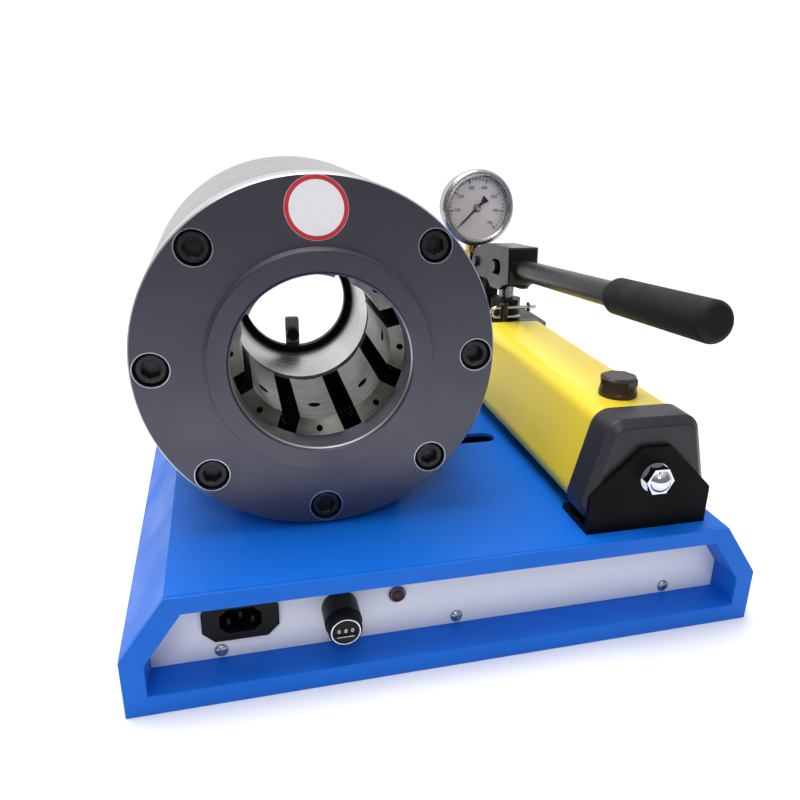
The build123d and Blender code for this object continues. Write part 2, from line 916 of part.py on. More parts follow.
stop_foot = head_z - end_ring_radius + stop_overlap
with BuildPart() as hose_stop:
    with BuildSketch(section(tail_end)):
        with Locations((head_x + stop_x, (stop_foot + stop_top) / 2)):
            Rectangle(stop_width, stop_top - stop_foot)
        fillet(vertices(), stop_corner)
        with Locations((head_x + stop_x, stop_screw_z)):
            Circle(stop_screw / 2 + SCREW_GAP, mode=Mode.SUBTRACT)
        with Locations((head_x + stop_x, clamp_screw_z)):
            Circle(clamp_screw / 2 + SCREW_GAP, mode=Mode.SUBTRACT)
    extrude(amount=-stop_thickness)
save(hose_stop.part, "hose_stop")

with BuildPart() as stop_screws:
    for face, way, z, head, height, shank in (
        (tail_end, 1, stop_screw_z, stop_screw_head, stop_screw_head_height, stop_screw),
        (tail_end + stop_thickness, -1, clamp_screw_z, clamp_screw_head, clamp_screw_head_height, clamp_screw),
    ):
        for size, reach in ((head, height), (shank, -(stop_thickness + stop_screw_spare))):
            with BuildSketch(section(face)):
                with Locations((head_x + stop_x, z)):
                    Circle(size / 2)
            extrude(amount=way * reach)
save(stop_screws.part, "stop_screws")

# Limit switch in the barrel's rear recess, its button on the tail
switch_out = Vector(cos(radians(switch_angle)), 0, sin(radians(switch_angle)))
switch_low = tail_radius + switch_clear
switch_mid = Vector(head_x, deep(rear_wall_back), head_z) + switch_out * (switch_low + switch_tall / 2)
button = Vector(head_x, deep(rear_wall_back + switch_button_in), head_z) + switch_out * (tail_radius + GAP)
with BuildPart() as limit_switch:
    with BuildSketch(Plane(switch_mid, x_dir=switch_out, z_dir=(0, 1, 0))):
        Rectangle(switch_tall, switch_wide)
        with GridLocations(0, switch_hole_pitch, 1, 2):
            Circle(switch_hole / 2, mode=Mode.SUBTRACT)
    extrude(amount=switch_deep)
    with BuildSketch(Plane(button, z_dir=switch_out)):
        Circle(switch_button / 2)
    extrude(amount=switch_clear)
save(limit_switch.part, "limit_switch")

# Tank with its end cap, front foot, tie rod and nut
filler_y = deep(filler_in)
nut_face = foot_front - washer - nut_height


def pump_section(depth_in):
    """Return the upright plane at a depth, centred on the pump."""
    return Plane((pump_x, deep(depth_in), 0), x_dir=(1, 0, 0), z_dir=(0, -1, 0))


with BuildPart() as tank:
    with BuildSketch(pump_section(tank_front)):
        with BuildLine():
            Polyline(*tank_corners(0), close=True)
        make_face()
        fillet(vertices(), tank_corner)
    extrude(amount=-(tank_back - tank_front))
    with BuildSketch(pump_section(tank_front)):
        with BuildLine():
            Polyline(*tank_corners(-tank_wall), close=True)
        make_face()
        fillet(vertices(), tank_corner - tank_wall)
    extrude(amount=-(tank_back - tank_front), mode=Mode.SUBTRACT)
    with BuildSketch(Plane.XY.offset(tank_top)):
        with Locations((pump_x, filler_y)):
            Circle(filler_neck / 2 + SCREW_GAP)
    extrude(amount=-2 * tank_wall, mode=Mode.SUBTRACT)
save(tank.part, "tank")

with BuildPart() as tank_end_cap:
    with BuildSketch(pump_section(cap_front)):
        with BuildLine():
            Polyline(*tank_corners(cap_lip), close=True)
        make_face()
        fillet(vertices(), tank_corner + cap_lip)
    extrude(amount=-(cap_back - cap_front))
    chamfer(faces().sort_by(Axis.Y)[0].edges(), cap_bevel)
    with BuildSketch(pump_section(tank_front)):
        with BuildLine():
            Polyline(*tank_corners(SCREW_GAP), close=True)
        make_face()
        fillet(vertices(), tank_corner + SCREW_GAP)
    extrude(amount=-(cap_back - tank_front), mode=Mode.SUBTRACT)
    with BuildSketch(pump_section(cap_front)):
        with Locations((0, tie_rod_z)):
            Circle(tie_rod / 2 + SCREW_GAP)
    extrude(amount=-(tank_front - cap_front), mode=Mode.SUBTRACT)
save(tank_end_cap.part, "tank_end_cap")

with BuildPart() as front_foot:
    with BuildSketch(pump_section(foot_front)):
        half = foot_width / 2
        tip = foot_top_width / 2
        with BuildLine():
            Polyline((-half, base_height), (half, base_height), (half, foot_shoulder), (tip, foot_top),
                     (-tip, foot_top), (-half, foot_shoulder), close=True)
        make_face()
        fillet(vertices().group_by(Axis.Z)[-1], foot_corner)
        with Locations((0, tie_rod_z)):
            Circle(tie_rod / 2 + SCREW_GAP, mode=Mode.SUBTRACT)
    extrude(amount=-foot_thickness)
    with BuildSketch(Plane.XY.offset(base_height)):
        with Locations((pump_x, deep(foot_front + foot_return / 2))):
            Rectangle(foot_width, foot_return)
        with Locations(*foot_bolt_spots):
            Circle(pump_bolt / 2 + SCREW_GAP, mode=Mode.SUBTRACT)
    extrude(amount=foot_thickness)
save(front_foot.part, "front_foot")

with BuildPart() as tie_rod_part:
    with BuildSketch(pump_section(foot_front - washer - tie_rod_tip)):
        with Locations((0, tie_rod_z)):
            Circle(tie_rod / 2)
    extrude(amount=-(tank_back + tie_rod_thread - foot_front + washer + tie_rod_tip))
save(tie_rod_part.part, "tie_rod")

with BuildPart() as domed_nut:
    nut_axis = Axis((pump_x, 0, tie_rod_z), (0, 1, 0))
    with BuildSketch(pump_section(foot_front)):
        with Locations((0, tie_rod_z)):
            Circle(nut_across_flats * 0.6)
    extrude(amount=washer)
    with BuildSketch(pump_section(foot_front - washer)):
        with Locations((0, tie_rod_z)):
            RegularPolygon(nut_across_flats / 2, 6, major_radius=False)
    extrude(amount=nut_height)
    dome_radius = nut_across_flats * 0.44
    dome_ball = (dome_radius ** 2 + dome_height ** 2) / (2 * dome_height)
    dome_sink = dome_ball - dome_height
    dome_turn = atan2(dome_radius, dome_sink) / 2
    with BuildSketch(Plane((pump_x, 0, tie_rod_z))):
        with BuildLine():
            Line((0, deep(nut_face + dome_collar)), (dome_radius, deep(nut_face + dome_collar)))
            Line((dome_radius, deep(nut_face + dome_collar)), (dome_radius, deep(nut_face)))
            ThreePointArc((dome_radius, deep(nut_face)),
                          (dome_ball * sin(dome_turn), deep(nut_face + dome_sink - dome_ball * cos(dome_turn))),
                          (0, deep(nut_face - dome_height)))
            Line((0, deep(nut_face - dome_height)), (0, deep(nut_face + dome_collar)))
        make_face()
    revolve(axis=nut_axis)
    with BuildSketch(pump_section(foot_front)):
        with Locations((0, tie_rod_z)):
            Circle(tie_rod / 2 + FIT)
    extrude(amount=washer + nut_thread, mode=Mode.SUBTRACT)
save(domed_nut.part, "domed_nut")

with BuildPart() as filler_cap:
    with BuildSketch(Plane.XY.offset(tank_top + FIT)):
        with Locations((pump_x, filler_y)):
            Circle(filler_diameter / 2)
    extrude(amount=filler_collar)
    with BuildSketch(Plane.XY.offset(tank_top + FIT + filler_collar)):
        with Locations((pump_x, filler_y)):
            Circle(filler_diameter / 2 - filler_step)
            with PolarLocations(filler_diameter / 2 + filler_flute_out, filler_flutes):
                Circle(filler_flute, mode=Mode.SUBTRACT)
    extrude(amount=filler_height - filler_collar - FIT)
    chamfer(faces().sort_by(Axis.Z)[-1].edges(), filler_edge)
    with BuildSketch(Plane.XY.offset(tank_top + FIT)):
        with Locations((pump_x, filler_y)):
            Circle(filler_neck / 2)
    extrude(amount=-filler_neck_length)
save(filler_cap.part, "filler_cap")

# Pump block: a casting with the tank's flange, the plunger tower, the fulcrum post and the gauge post
lever_dir = Vector(0, -cos(radians(handle_pitch)), sin(radians(handle_pitch)))
lever_plane = Plane((pump_x, deep(fulcrum_in), fulcrum_z), x_dir=lever_dir, z_dir=(-1, 0, 0))
side_plane = Plane((pump_x, deep(fulcrum_in), fulcrum_z), x_dir=(0, -1, 0), z_dir=(-1, 0, 0))
tongue = lever_slot - 2 * lever_side_gap
block_mid = tank_back + block_length / 2
block_side = pump_x - block_half
block_port = Plane((block_side, deep(port_in), port_z), x_dir=(0, 1, 0), z_dir=(-1, 0, 0))
strainer_z = tank_bottom + strainer_rise
with BuildPart() as pump_block:
    with BuildSketch(Plane.XY.offset(base_height)):
        with Locations((pump_x, deep(block_mid))):
            RectangleRounded(2 * block_foot_half, block_length, block_foot_corner)
        with Locations(*pump_bolt_spots):
            Circle(pump_bolt / 2 + SCREW_GAP, mode=Mode.SUBTRACT)
    extrude(amount=block_foot_height)
    with BuildSketch(Plane.XY.offset(base_height)):
        with Locations((pump_x, deep(block_mid))):
            RectangleRounded(2 * block_half, block_length, block_corner)
    extrude(amount=block_top - base_height)
    with BuildSketch(pump_section(tank_back)):
        with BuildLine():
            Polyline(*tank_corners(0), close=True)
        make_face()
        fillet(vertices(), tank_corner)
    extrude(amount=-tank_flange)
    with BuildSketch(Plane.XY.offset(block_top)):
        with Locations((pump_x, deep(plunger_in))):
            Circle(plunger_tower / 2)
    extrude(amount=tower_rise)
    with BuildSketch(side_plane):
        with BuildLine():
            Line((-fulcrum_post / 2, block_top - fulcrum_z), (fulcrum_post / 2, block_top - fulcrum_z))
            Line((fulcrum_post / 2, block_top - fulcrum_z), (fulcrum_post / 2, 0))
            ThreePointArc((fulcrum_post / 2, 0), (0, fulcrum_post / 2), (-fulcrum_post / 2, 0))
            Line((-fulcrum_post / 2, 0), (-fulcrum_post / 2, block_top - fulcrum_z))
        make_face()
        Circle(fulcrum_pin_d / 2 + FIT, mode=Mode.SUBTRACT)
    extrude(amount=tongue / 2, both=True)
    with BuildSketch(Plane.XY.offset(block_top)):
        with Locations((gauge_x, deep(gauge_post_in))):
            RectangleRounded(gauge_post, gauge_post, gauge_post_corner)
    extrude(amount=gauge_post_rise)
    with BuildSketch(Plane.XY.offset(tower_top)):
        with Locations((pump_x, deep(plunger_in))):
            Circle(plunger_rod / 2 + FIT)
    extrude(amount=-(tower_top - plunger_bottom + plunger_spare), mode=Mode.SUBTRACT)
    with BuildSketch(Plane.XY.offset(gauge_post_top)):
        with Locations((gauge_x, deep(gauge_post_in))):
            Circle(gauge_thread / 2 + SCREW_GAP)
    extrude(amount=-gauge_thread_deep, mode=Mode.SUBTRACT)
    with BuildSketch(Plane.XY.offset(tank_top)):
        with Locations((valve_x, deep(valve_in))):
            Circle(valve_stem / 2 + FIT)
    extrude(amount=block_top - tank_top - valve_hole_deep, mode=Mode.SUBTRACT)
    with BuildSketch(block_port):
        Circle(fitting_thread / 2 + SCREW_GAP)
    extrude(amount=-block_port_deep, mode=Mode.SUBTRACT)
    with BuildSketch(pump_section(tank_back)):
        with Locations((0, tie_rod_z)):
            Circle(tie_rod / 2 + SCREW_GAP)
        with Locations((strainer_x, strainer_z)):
            Circle(strainer_neck / 2 + SCREW_GAP)
    extrude(amount=-block_blind, mode=Mode.SUBTRACT)
save(pump_block.part, "pump_block")

with BuildPart() as pump_bolts:
    bolted = ((pump_bolt_spots, base_height + block_foot_height), (foot_bolt_spots, base_height - sheet))
    for spots, seat in bolted:
        turned_over = 1 if seat > base_height else -1
        with BuildSketch(Plane.XY.offset(seat)):
            with Locations(*spots):
                RegularPolygon(pump_bolt_head / 2, 6, major_radius=False)
        extrude(amount=turned_over * pump_bolt_head_height)
    with BuildSketch(Plane.XY.offset(base_height - sheet - pump_bolt_spare)):
        with Locations(*pump_bolt_spots):
            Circle(pump_bolt / 2)
    extrude(amount=block_foot_height + sheet + pump_bolt_spare)
    with BuildSketch(Plane.XY.offset(base_height - sheet)):
        with Locations(*foot_bolt_spots):
            Circle(pump_bolt / 2)
    extrude(amount=sheet + foot_thickness - FIT)
save(pump_bolts.part, "pump_bolts")

with BuildPart() as suction_strainer:
    with BuildSketch(pump_section(tank_back + strainer_seat)):
        with Locations((strainer_x, strainer_z)):
            Circle(strainer_neck / 2)
    extrude(amount=strainer_neck_length)
    with BuildSketch(pump_section(tank_back - strainer_lap)):
        with Locations((strainer_x, strainer_z)):
            Circle(strainer_body / 2)
    extrude(amount=strainer_length)
save(suction_strainer.part, "suction_strainer")

with BuildPart() as gland_nut:
    with BuildSketch(Plane.XY.offset(tower_top)):
        with Locations((pump_x, deep(plunger_in))):
            RegularPolygon(gland_across_flats / 2, 6, major_radius=False)
            Circle(plunger_rod / 2 + FIT, mode=Mode.SUBTRACT)
    extrude(amount=gland_height)
save(gland_nut.part, "gland_nut")

# Plunger and its cross pin: the pin slides in a slot of the lever
pin_run = fulcrum_in - plunger_in
pin_z = fulcrum_z + pin_run * tan(radians(handle_pitch))
pin_plane = Plane((pump_x, deep(plunger_in), pin_z), x_dir=(0, -1, 0), z_dir=(-1, 0, 0))
with BuildPart() as plunger:
    with BuildSketch(Plane.XY.offset(plunger_bottom)):
        with Locations((pump_x, deep(plunger_in))):
            Circle(plunger_rod / 2)
    extrude(amount=pin_z - plunger_bottom)
    with BuildSketch(pin_plane):
        Circle(eye_radius)
    extrude(amount=tongue / 2, both=True)
    with BuildSketch(pin_plane):
        Circle(plunger_pin_d / 2 + FIT)
    extrude(amount=tongue, both=True, mode=Mode.SUBTRACT)
save(plunger.part, "plunger")

with BuildPart() as plunger_pin:
    with BuildSketch(pin_plane):
        Circle(plunger_pin_d / 2)
    extrude(amount=lever_width / 2 + plunger_pin_spare, both=True)
save(plunger_pin.part, "plunger_pin")

with BuildPart() as fulcrum_pin:
    with BuildSketch(side_plane):
        Circle(fulcrum_pin_d / 2)
    extrude(amount=lever_width / 2 + fulcrum_pin_spare, both=True)
    with BuildSketch(side_plane.offset(-(lever_width / 2 + fulcrum_pin_spare))):
        Circle(fulcrum_pin_d / 2 + fulcrum_head_step)
    extrude(amount=fulcrum_head_step)
save(fulcrum_pin.part, "fulcrum_pin")

# Lever head: a forked forging with cheeks either side of the plunger and a socket for the tube
pin_near = pin_run / cos(radians(handle_pitch))
pin_far = pin_run / cos(radians(handle_pitch + handle_up))
with BuildPart() as lever_head:
    with BuildSketch(lever_plane):
        with BuildLine():
            Polyline(
                (0, lever_tail_radius),
                (lever_shoulder, lever_top),
                (lever_front, lever_top),
                (lever_front, -lever_chin),
                (lever_slot_end, -lever_throat),
                (cheek_front, -cheek_drop),
                (cheek_back, -cheek_drop),
                (cheek_rise, -lever_tail_radius),
                (0, -lever_tail_radius),
            )
            ThreePointArc((0, -lever_tail_radius), (-lever_tail_radius, 0), (0, lever_tail_radius))
        make_face()
    extrude(amount=lever_width / 2, both=True)
    chamfer(faces().sort_by(Axis(lever_plane.origin, lever_dir))[-1].edges(), lever_edge)
    with BuildSketch(lever_plane):
        with BuildLine():
            slot_back = -2 * lever_tail_radius
            slot_low = -2 * cheek_drop
            slot_front = lever_slot_end - lever_web
            slot_high = lever_top - lever_roof
            Polyline((slot_back, slot_low), (slot_front, slot_low), (slot_front, slot_high),
                     (slot_back, slot_high), close=True)
        make_face()
    extrude(amount=lever_slot / 2, both=True, mode=Mode.SUBTRACT)
    with BuildSketch(lever_plane):
        Circle(fulcrum_pin_d / 2 + FIT)
        with BuildLine():
            low = -(plunger_pin_d / 2 + slot_play)
            high = plunger_pin_d / 2 + slot_play
            Line((pin_near, low), (pin_far, low))
            ThreePointArc((pin_far, low), (pin_far + high, 0), (pin_far, high))
            Line((pin_far, high), (pin_near, high))
            ThreePointArc((pin_near, high), (pin_near - high, 0), (pin_near, low))
        make_face()
    extrude(amount=lever_width, both=True, mode=Mode.SUBTRACT)
    with BuildSketch(Plane(lever_plane.from_local_coords((lever_front, 0, 0)), z_dir=lever_dir)):
        Circle(tube_diameter / 2 + FIT)
    extrude(amount=-(lever_front - lever_slot_end), mode=Mode.SUBTRACT)
save(lever_head.part, "lever_head")

with BuildPart() as handle_tube:
    with BuildSketch(Plane(lever_plane.from_local_coords((lever_slot_end + tube_seat, 0, 0)), z_dir=lever_dir)):
        Circle(tube_diameter / 2)
        Circle(tube_diameter / 2 - tube_wall, mode=Mode.SUBTRACT)
    extrude(amount=grip_end - grip_end_wall - lever_slot_end - tube_seat)
save(handle_tube.part, "handle_tube")

with BuildPart() as handle_grip:
    with BuildSketch(lever_plane):
        with BuildLine():
            radius = grip_diameter / 2
            Line((grip_start, 0), (grip_start, radius - grip_lip))
            Line((grip_start, radius - grip_lip), (grip_start + grip_lip_run, radius))
            Line((grip_start + grip_lip_run, radius), (grip_end - grip_round, radius))
            RadiusArc((grip_end - grip_round, radius), (grip_end, radius - grip_round), grip_round)
            Line((grip_end, radius - grip_round), (grip_end, 0))
            Line((grip_end, 0), (grip_start, 0))
        make_face()
    revolve(axis=Axis(lever_plane.origin, lever_dir))
    with BuildSketch(Plane(lever_plane.from_local_coords((grip_start, 0, 0)), z_dir=lever_dir)):
        Circle(tube_diameter / 2 + FIT)
    extrude(amount=grip_end - grip_end_wall - grip_start + FIT, mode=Mode.SUBTRACT)
save(handle_grip.part, "handle_grip")

# Release valve: an upright stem with a bent bar through it
with BuildPart() as release_stem:
    with BuildSketch(Plane.XY.offset(block_top - valve_stem_deep)):
        with Locations((valve_x, deep(valve_in))):
            Circle(valve_stem / 2)
    extrude(amount=valve_top - block_top + valve_stem_deep)
    chamfer(faces().sort_by(Axis.Z)[-1].edges(), valve_edge)
    for leg_z in (bar_low_z, bar_high_z):
        with BuildSketch(Plane((valve_x - valve_stem, deep(valve_in), leg_z), z_dir=(1, 0, 0))):
            Circle(bar_diameter / 2 + FIT)
        extrude(amount=2 * valve_stem, mode=Mode.SUBTRACT)
save(release_stem.part, "release_stem")

with BuildPart() as release_bar:
    bend = (bar_high_z - bar_low_z) / 2
    bar_y = deep(valve_in)
    with BuildLine() as bar_path:
        Line((bar_low_right, bar_y, bar_low_z), (bar_left + bend, bar_y, bar_low_z))
        ThreePointArc((bar_left + bend, bar_y, bar_low_z), (bar_left, bar_y, bar_low_z + bend),
                      (bar_left + bend, bar_y, bar_high_z))
        Line((bar_left + bend, bar_y, bar_high_z), (bar_high_right, bar_y, bar_high_z))
    with BuildSketch(Plane((bar_low_right, bar_y, bar_low_z), z_dir=(-1, 0, 0))):
        Circle(bar_diameter / 2)
    sweep()
    with BuildSketch(Plane((bar_high_right - bar_disc_in, bar_y, bar_high_z), z_dir=(-1, 0, 0))):
        Circle(bar_diameter / 2 + bar_disc_step)
    extrude(amount=bar_disc)
save(release_bar.part, "release_bar")

# Pressure gauge: case, bezel, dial, glass and needle on a hexagon adapter
gauge_axis = Axis((gauge_x, 0, gauge_z), (0, 1, 0))
gauge_plane = Plane((gauge_x, 0, gauge_z))
gauge_back = gauge_in + gauge_bezel_length + gauge_case_length - gauge_case_lap
gauge_seat = deep(gauge_in + gauge_glass_in)
gauge_pan = gauge_dial_radius + gauge_dial_seat
dial_in = gauge_in + gauge_dial_in
dial_back = deep(dial_in + gauge_dial_seat + gauge_dial_thickness)


def gauge_face(depth_in):
    """Return the upright plane at a depth, centred on the gauge."""
    return Plane((gauge_x, deep(depth_in), gauge_z), x_dir=(1, 0, 0), z_dir=(0, -1, 0))


with BuildPart() as gauge_case:
    with BuildSketch(gauge_plane):
        with BuildLine():
            Polyline(
                (0, dial_back),
                (gauge_pan, dial_back),
                (gauge_pan, gauge_seat),
                (gauge_case_radius, gauge_seat),
                (gauge_case_radius, deep(gauge_back - gauge_case_bevel)),
                (gauge_case_radius - gauge_case_bevel, deep(gauge_back)),
                (0, deep(gauge_back)),
                close=True,
            )
        make_face()
    revolve(axis=gauge_axis)
    with BuildSketch(Plane.XY.offset(gauge_z - gauge_case_radius + gauge_stem_lap)):
        with Locations((gauge_x, deep(gauge_post_in))):
            Circle(gauge_stem / 2)
    extrude(amount=-gauge_stem_length)
save(gauge_case.part, "gauge_case")

with BuildPart() as gauge_bezel:
    with BuildSketch(gauge_plane):
        with BuildLine():
            Polyline(
                (gauge_window, deep(gauge_in + gauge_lip)),
                (gauge_window + gauge_bezel_round, deep(gauge_in)),
                (gauge_radius - gauge_bezel_round, deep(gauge_in)),
                (gauge_radius, deep(gauge_in + gauge_bezel_round)),
                (gauge_radius, deep(gauge_in + gauge_bezel_length)),
                (gauge_case_radius + FIT, deep(gauge_in + gauge_bezel_length)),
                (gauge_case_radius + FIT, deep(gauge_in + gauge_bezel_seat)),
                (gauge_window, deep(gauge_in + gauge_bezel_seat)),
                close=True,
            )
        make_face()
    revolve(axis=gauge_axis)
save(gauge_bezel.part, "gauge_bezel")

with BuildPart() as gauge_pane:
    with BuildSketch(gauge_face(gauge_in + gauge_glass_in)):
        Circle(gauge_dial_radius + gauge_dial_step)
    extrude(amount=-gauge_glass)
save(gauge_pane.part, "gauge_glass")

with BuildPart() as gauge_dial:
    with BuildSketch(gauge_face(dial_in + gauge_dial_seat)):
        Circle(gauge_dial_radius + gauge_dial_step)
        Circle(needle_arbor / 2 + needle_arbor_gap, mode=Mode.SUBTRACT)
    extrude(amount=-gauge_dial_thickness)
save(gauge_dial.part, "gauge_dial")

needle_back = gauge_in + needle_in + 1
with BuildPart() as gauge_needle:
    zero = radians(needle_zero)
    with BuildSketch(Plane(gauge_face(needle_back).origin, x_dir=(cos(zero), 0, sin(zero)), z_dir=(0, -1, 0))):
        Circle(needle_hub / 2)
        with BuildLine():
            Polyline((0, -needle_root / 2), (needle_length, -needle_tip / 2), (needle_length, needle_tip / 2),
                     (0, needle_root / 2), close=True)
        make_face()
        with BuildLine():
            Polyline((0, -needle_tail_root / 2), (-needle_tail_neck, -needle_tail_root / 2),
                     (-needle_tail, -needle_tail_width / 2), (-needle_tail, needle_tail_width / 2),
                     (-needle_tail_neck, needle_tail_root / 2), (0, needle_tail_root / 2), close=True)
        make_face()
    extrude(amount=needle_thickness)
    with BuildSketch(gauge_face(needle_back)):
        Circle(needle_arbor / 2)
    extrude(amount=-(dial_in + gauge_dial_seat - needle_back + gauge_dial_thickness - 2 * needle_arbor_gap))
save(gauge_needle.part, "gauge_needle")

with BuildPart() as gauge_adapter:
    adapter_y = deep(gauge_post_in)
    with BuildSketch(Plane.XY.offset(gauge_post_top)):
        with Locations((gauge_x, adapter_y)):
            RegularPolygon(adapter_across_flats / 2, 6, major_radius=False)
    extrude(amount=adapter_height)
    with BuildSketch(Plane.XY.offset(gauge_post_top)):
        with Locations((gauge_x, adapter_y)):
            Circle(gauge_thread / 2)
    extrude(amount=-gauge_thread_length)
    with BuildSketch(Plane.XY.offset(gauge_post_top)):
        with Locations((gauge_x, adapter_y)):
            Circle(gauge_stem / 2)
    extrude(amount=gauge_rise - gauge_case_radius - gauge_stem_gap - FIT)
save(gauge_adapter.part, "gauge_adapter")

# Hydraulic pipe with a fitting at each end; the pipe stands in the fittings' bores
pipe_knee = (barrel_side + block_side) / 2
with BuildPart() as port_fittings:
    for seat in (barrel_port, block_port):
        with BuildSketch(seat):
            RegularPolygon(fitting_nut / 2, 6, major_radius=False)
        extrude(amount=fitting_nut_length)
        with BuildSketch(seat):
            Circle(fitting_thread / 2)
        extrude(amount=-fitting_thread_length)
        with BuildSketch(seat):
            Circle(fitting_collar / 2)
        extrude(amount=fitting_length)
        with BuildSketch(seat):
            Circle(pipe_diameter / 2 + FIT)
        extrude(amount=fitting_length, mode=Mode.SUBTRACT)
save(port_fittings.part, "port_fittings")

with BuildPart() as hydraulic_pipe:
    route = [
        (barrel_side + FIT, deep(barrel_port_in), head_z),
        (pipe_knee, deep(barrel_port_in), head_z),
        (pipe_knee, deep(port_in), port_z),
        (block_side - FIT, deep(port_in), port_z),
    ]
    with BuildLine():
        FilletPolyline(*route, radius=(pipe_bend, pipe_bend))
    with BuildSketch(Plane(route[0], z_dir=(1, 0, 0))):
        Circle(pipe_diameter / 2)
    sweep()
save(hydraulic_pipe.part, "hydraulic_pipe")

# Panel fittings
socket_mid = Plane((inlet_x, deep(panel_setback), inlet_z), x_dir=(1, 0, 0), z_dir=(0, -1, 0))
with BuildPart() as inlet_socket:
    with BuildSketch(socket_mid):
        Rectangle(inlet_width, inlet_height)
        chamfer(vertices(), inlet_corner)
    extrude(amount=inlet_flange)
    with BuildSketch(socket_mid):
        Rectangle(inlet_socket_width + 2 * inlet_body_wall, inlet_socket_height + 2 * inlet_body_wall)
    extrude(amount=-inlet_body_deep)
    with BuildSketch(socket_mid.offset(inlet_flange)):
        Rectangle(inlet_socket_width, inlet_socket_height)
        chamfer(vertices().group_by(Axis.Z)[-1], inlet_socket_corner)
    extrude(amount=-inlet_socket_deep, mode=Mode.SUBTRACT)
save(inlet_socket.part, "inlet_socket")

with BuildPart() as inlet_pins:
    with BuildSketch(socket_mid.offset(inlet_flange - inlet_socket_deep)):
        with Locations(*inlet_pin_spots):
            Rectangle(inlet_pin_width, inlet_pin_height)
    extrude(amount=inlet_socket_deep - inlet_pin_short)
save(inlet_pins.part, "inlet_pins")



def counter_section(depth_in):
    """Return the upright plane at a depth, centred on the turns counter."""
    return Plane((counter_x, deep(depth_in), counter_z), x_dir=(1, 0, 0), z_dir=(0, -1, 0))


with BuildPart() as counter_housing:
    with BuildSketch(counter_section(panel_setback)):
        Circle(counter_body / 2)
    extrude(amount=panel_setback - counter_body_front)
    with BuildSketch(counter_section(panel_setback)):
        Circle(counter_shaft / 2)
    extrude(amount=-counter_shaft_length)
    with BuildSketch(counter_section(panel_back)):
        Circle(counter_nut / 2)
    extrude(amount=-counter_nut_thickness)
    with BuildSketch(counter_section(counter_body_front)):
        Circle(counter_face / 2)
    extrude(amount=counter_body_front - counter_front)
    with BuildSketch(counter_section(counter_front)):
        Rectangle(counter_window, counter_window_tall)
    extrude(amount=-counter_window_deep, mode=Mode.SUBTRACT)
save(counter_housing.part, "counter_housing")

with BuildPart() as counter_ring:
    with BuildSketch(counter_section(counter_body_front - counter_ring_lap)):
        Circle(counter_knob / 2)
        Circle(counter_face / 2 + counter_ring_gap, mode=Mode.SUBTRACT)
    extrude(amount=counter_body_front - counter_ring_lap - counter_front - counter_ring_short)
save(counter_ring.part, "counter_ring")

lamp_plane = Plane((lamp_x, deep(panel_setback), lamp_z), x_dir=(1, 0, 0), z_dir=(0, -1, 0))
with BuildPart() as lamp_body:
    with BuildSketch(lamp_plane):
        Circle(lamp_bezel / 2)
    extrude(amount=lamp_proud)
    chamfer(faces().sort_by(Axis.Y)[0].edges(), lamp_edge)
    with BuildSketch(lamp_plane):
        Circle(lamp_hole / 2)
    extrude(amount=-lamp_length)
    with BuildSketch(lamp_plane.offset(lamp_proud)):
        Circle(lamp_hole / 2 - lamp_edge)
    extrude(amount=-lamp_lens_deep, mode=Mode.SUBTRACT)
save(lamp_body.part, "lamp_bezel")

with BuildPart() as lamp_lens:
    with BuildSketch(lamp_plane.offset(lamp_proud - lamp_lens_deep)):
        Circle(lamp_hole / 2 - lamp_edge - FIT)
    extrude(amount=lamp_lens_deep)
    fillet(faces().sort_by(Axis.Y)[0].edges(), lamp_edge)
save(lamp_lens.part, "lamp_lens")

# Power module on the floor of the base
with BuildPart() as power_module:
    with BuildSketch(Plane.XY.offset(sheet)):
        with Locations((module_x, deep(module_in))):
            Rectangle(module_ear_width, module_depth)
            with GridLocations(module_ear_pitch, 0, 2, 1):
                Circle(module_ear_hole / 2, mode=Mode.SUBTRACT)
    extrude(amount=module_ear_height)
    with BuildSketch(Plane.XY.offset(sheet)):
        with Locations((module_x, deep(module_in))):
            RectangleRounded(module_width, module_depth, module_corner)
    extrude(amount=module_height)
save(power_module.part, "power_module")
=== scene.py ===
"""Looks of a hand-pumped hose crimping machine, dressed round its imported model.

Sizes in the classes are millimetres, as a maker would write them. The row frame is in
metres: X to the right, Y away from the operator, Z up, the origin under the base.
Depths are measured back from the front of the base.
"""
import logging
import math
from dataclasses import dataclass, field
from enum import Enum
from typing import Any, Optional, Sequence

import bmesh
import bpy
from mathutils import Matrix, Vector


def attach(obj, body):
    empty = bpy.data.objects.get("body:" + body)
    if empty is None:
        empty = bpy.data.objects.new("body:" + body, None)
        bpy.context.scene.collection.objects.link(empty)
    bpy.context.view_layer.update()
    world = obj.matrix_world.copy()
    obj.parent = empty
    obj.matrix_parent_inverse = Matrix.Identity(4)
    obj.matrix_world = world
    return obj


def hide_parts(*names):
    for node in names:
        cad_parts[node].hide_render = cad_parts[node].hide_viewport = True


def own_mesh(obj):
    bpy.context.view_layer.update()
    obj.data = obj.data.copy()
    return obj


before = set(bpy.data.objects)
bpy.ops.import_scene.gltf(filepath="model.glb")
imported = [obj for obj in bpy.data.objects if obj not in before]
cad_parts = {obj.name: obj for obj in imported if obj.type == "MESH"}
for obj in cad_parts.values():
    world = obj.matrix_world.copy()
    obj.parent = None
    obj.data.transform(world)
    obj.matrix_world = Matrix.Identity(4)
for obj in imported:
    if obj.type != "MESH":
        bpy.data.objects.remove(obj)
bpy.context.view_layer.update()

LOG = logging.getLogger("hose_crimper")
MM = 0.001
BASE_DEPTH = 400.0
Point = tuple[float, float, float]
Span = tuple[float, float]
Profile = Sequence[Span]
Tree = bpy.types.NodeTree
Node = bpy.types.Node
Socket = bpy.types.NodeSocket
Shape = bmesh.types.BMesh
Piece = bpy.types.Object
HEAD_X, HEAD_Z = -81.3, 185.6
SMOOTH_ANGLE = 32.0
BEVEL_ANGLE = 33.0
FLAT_ANGLE = 0.6
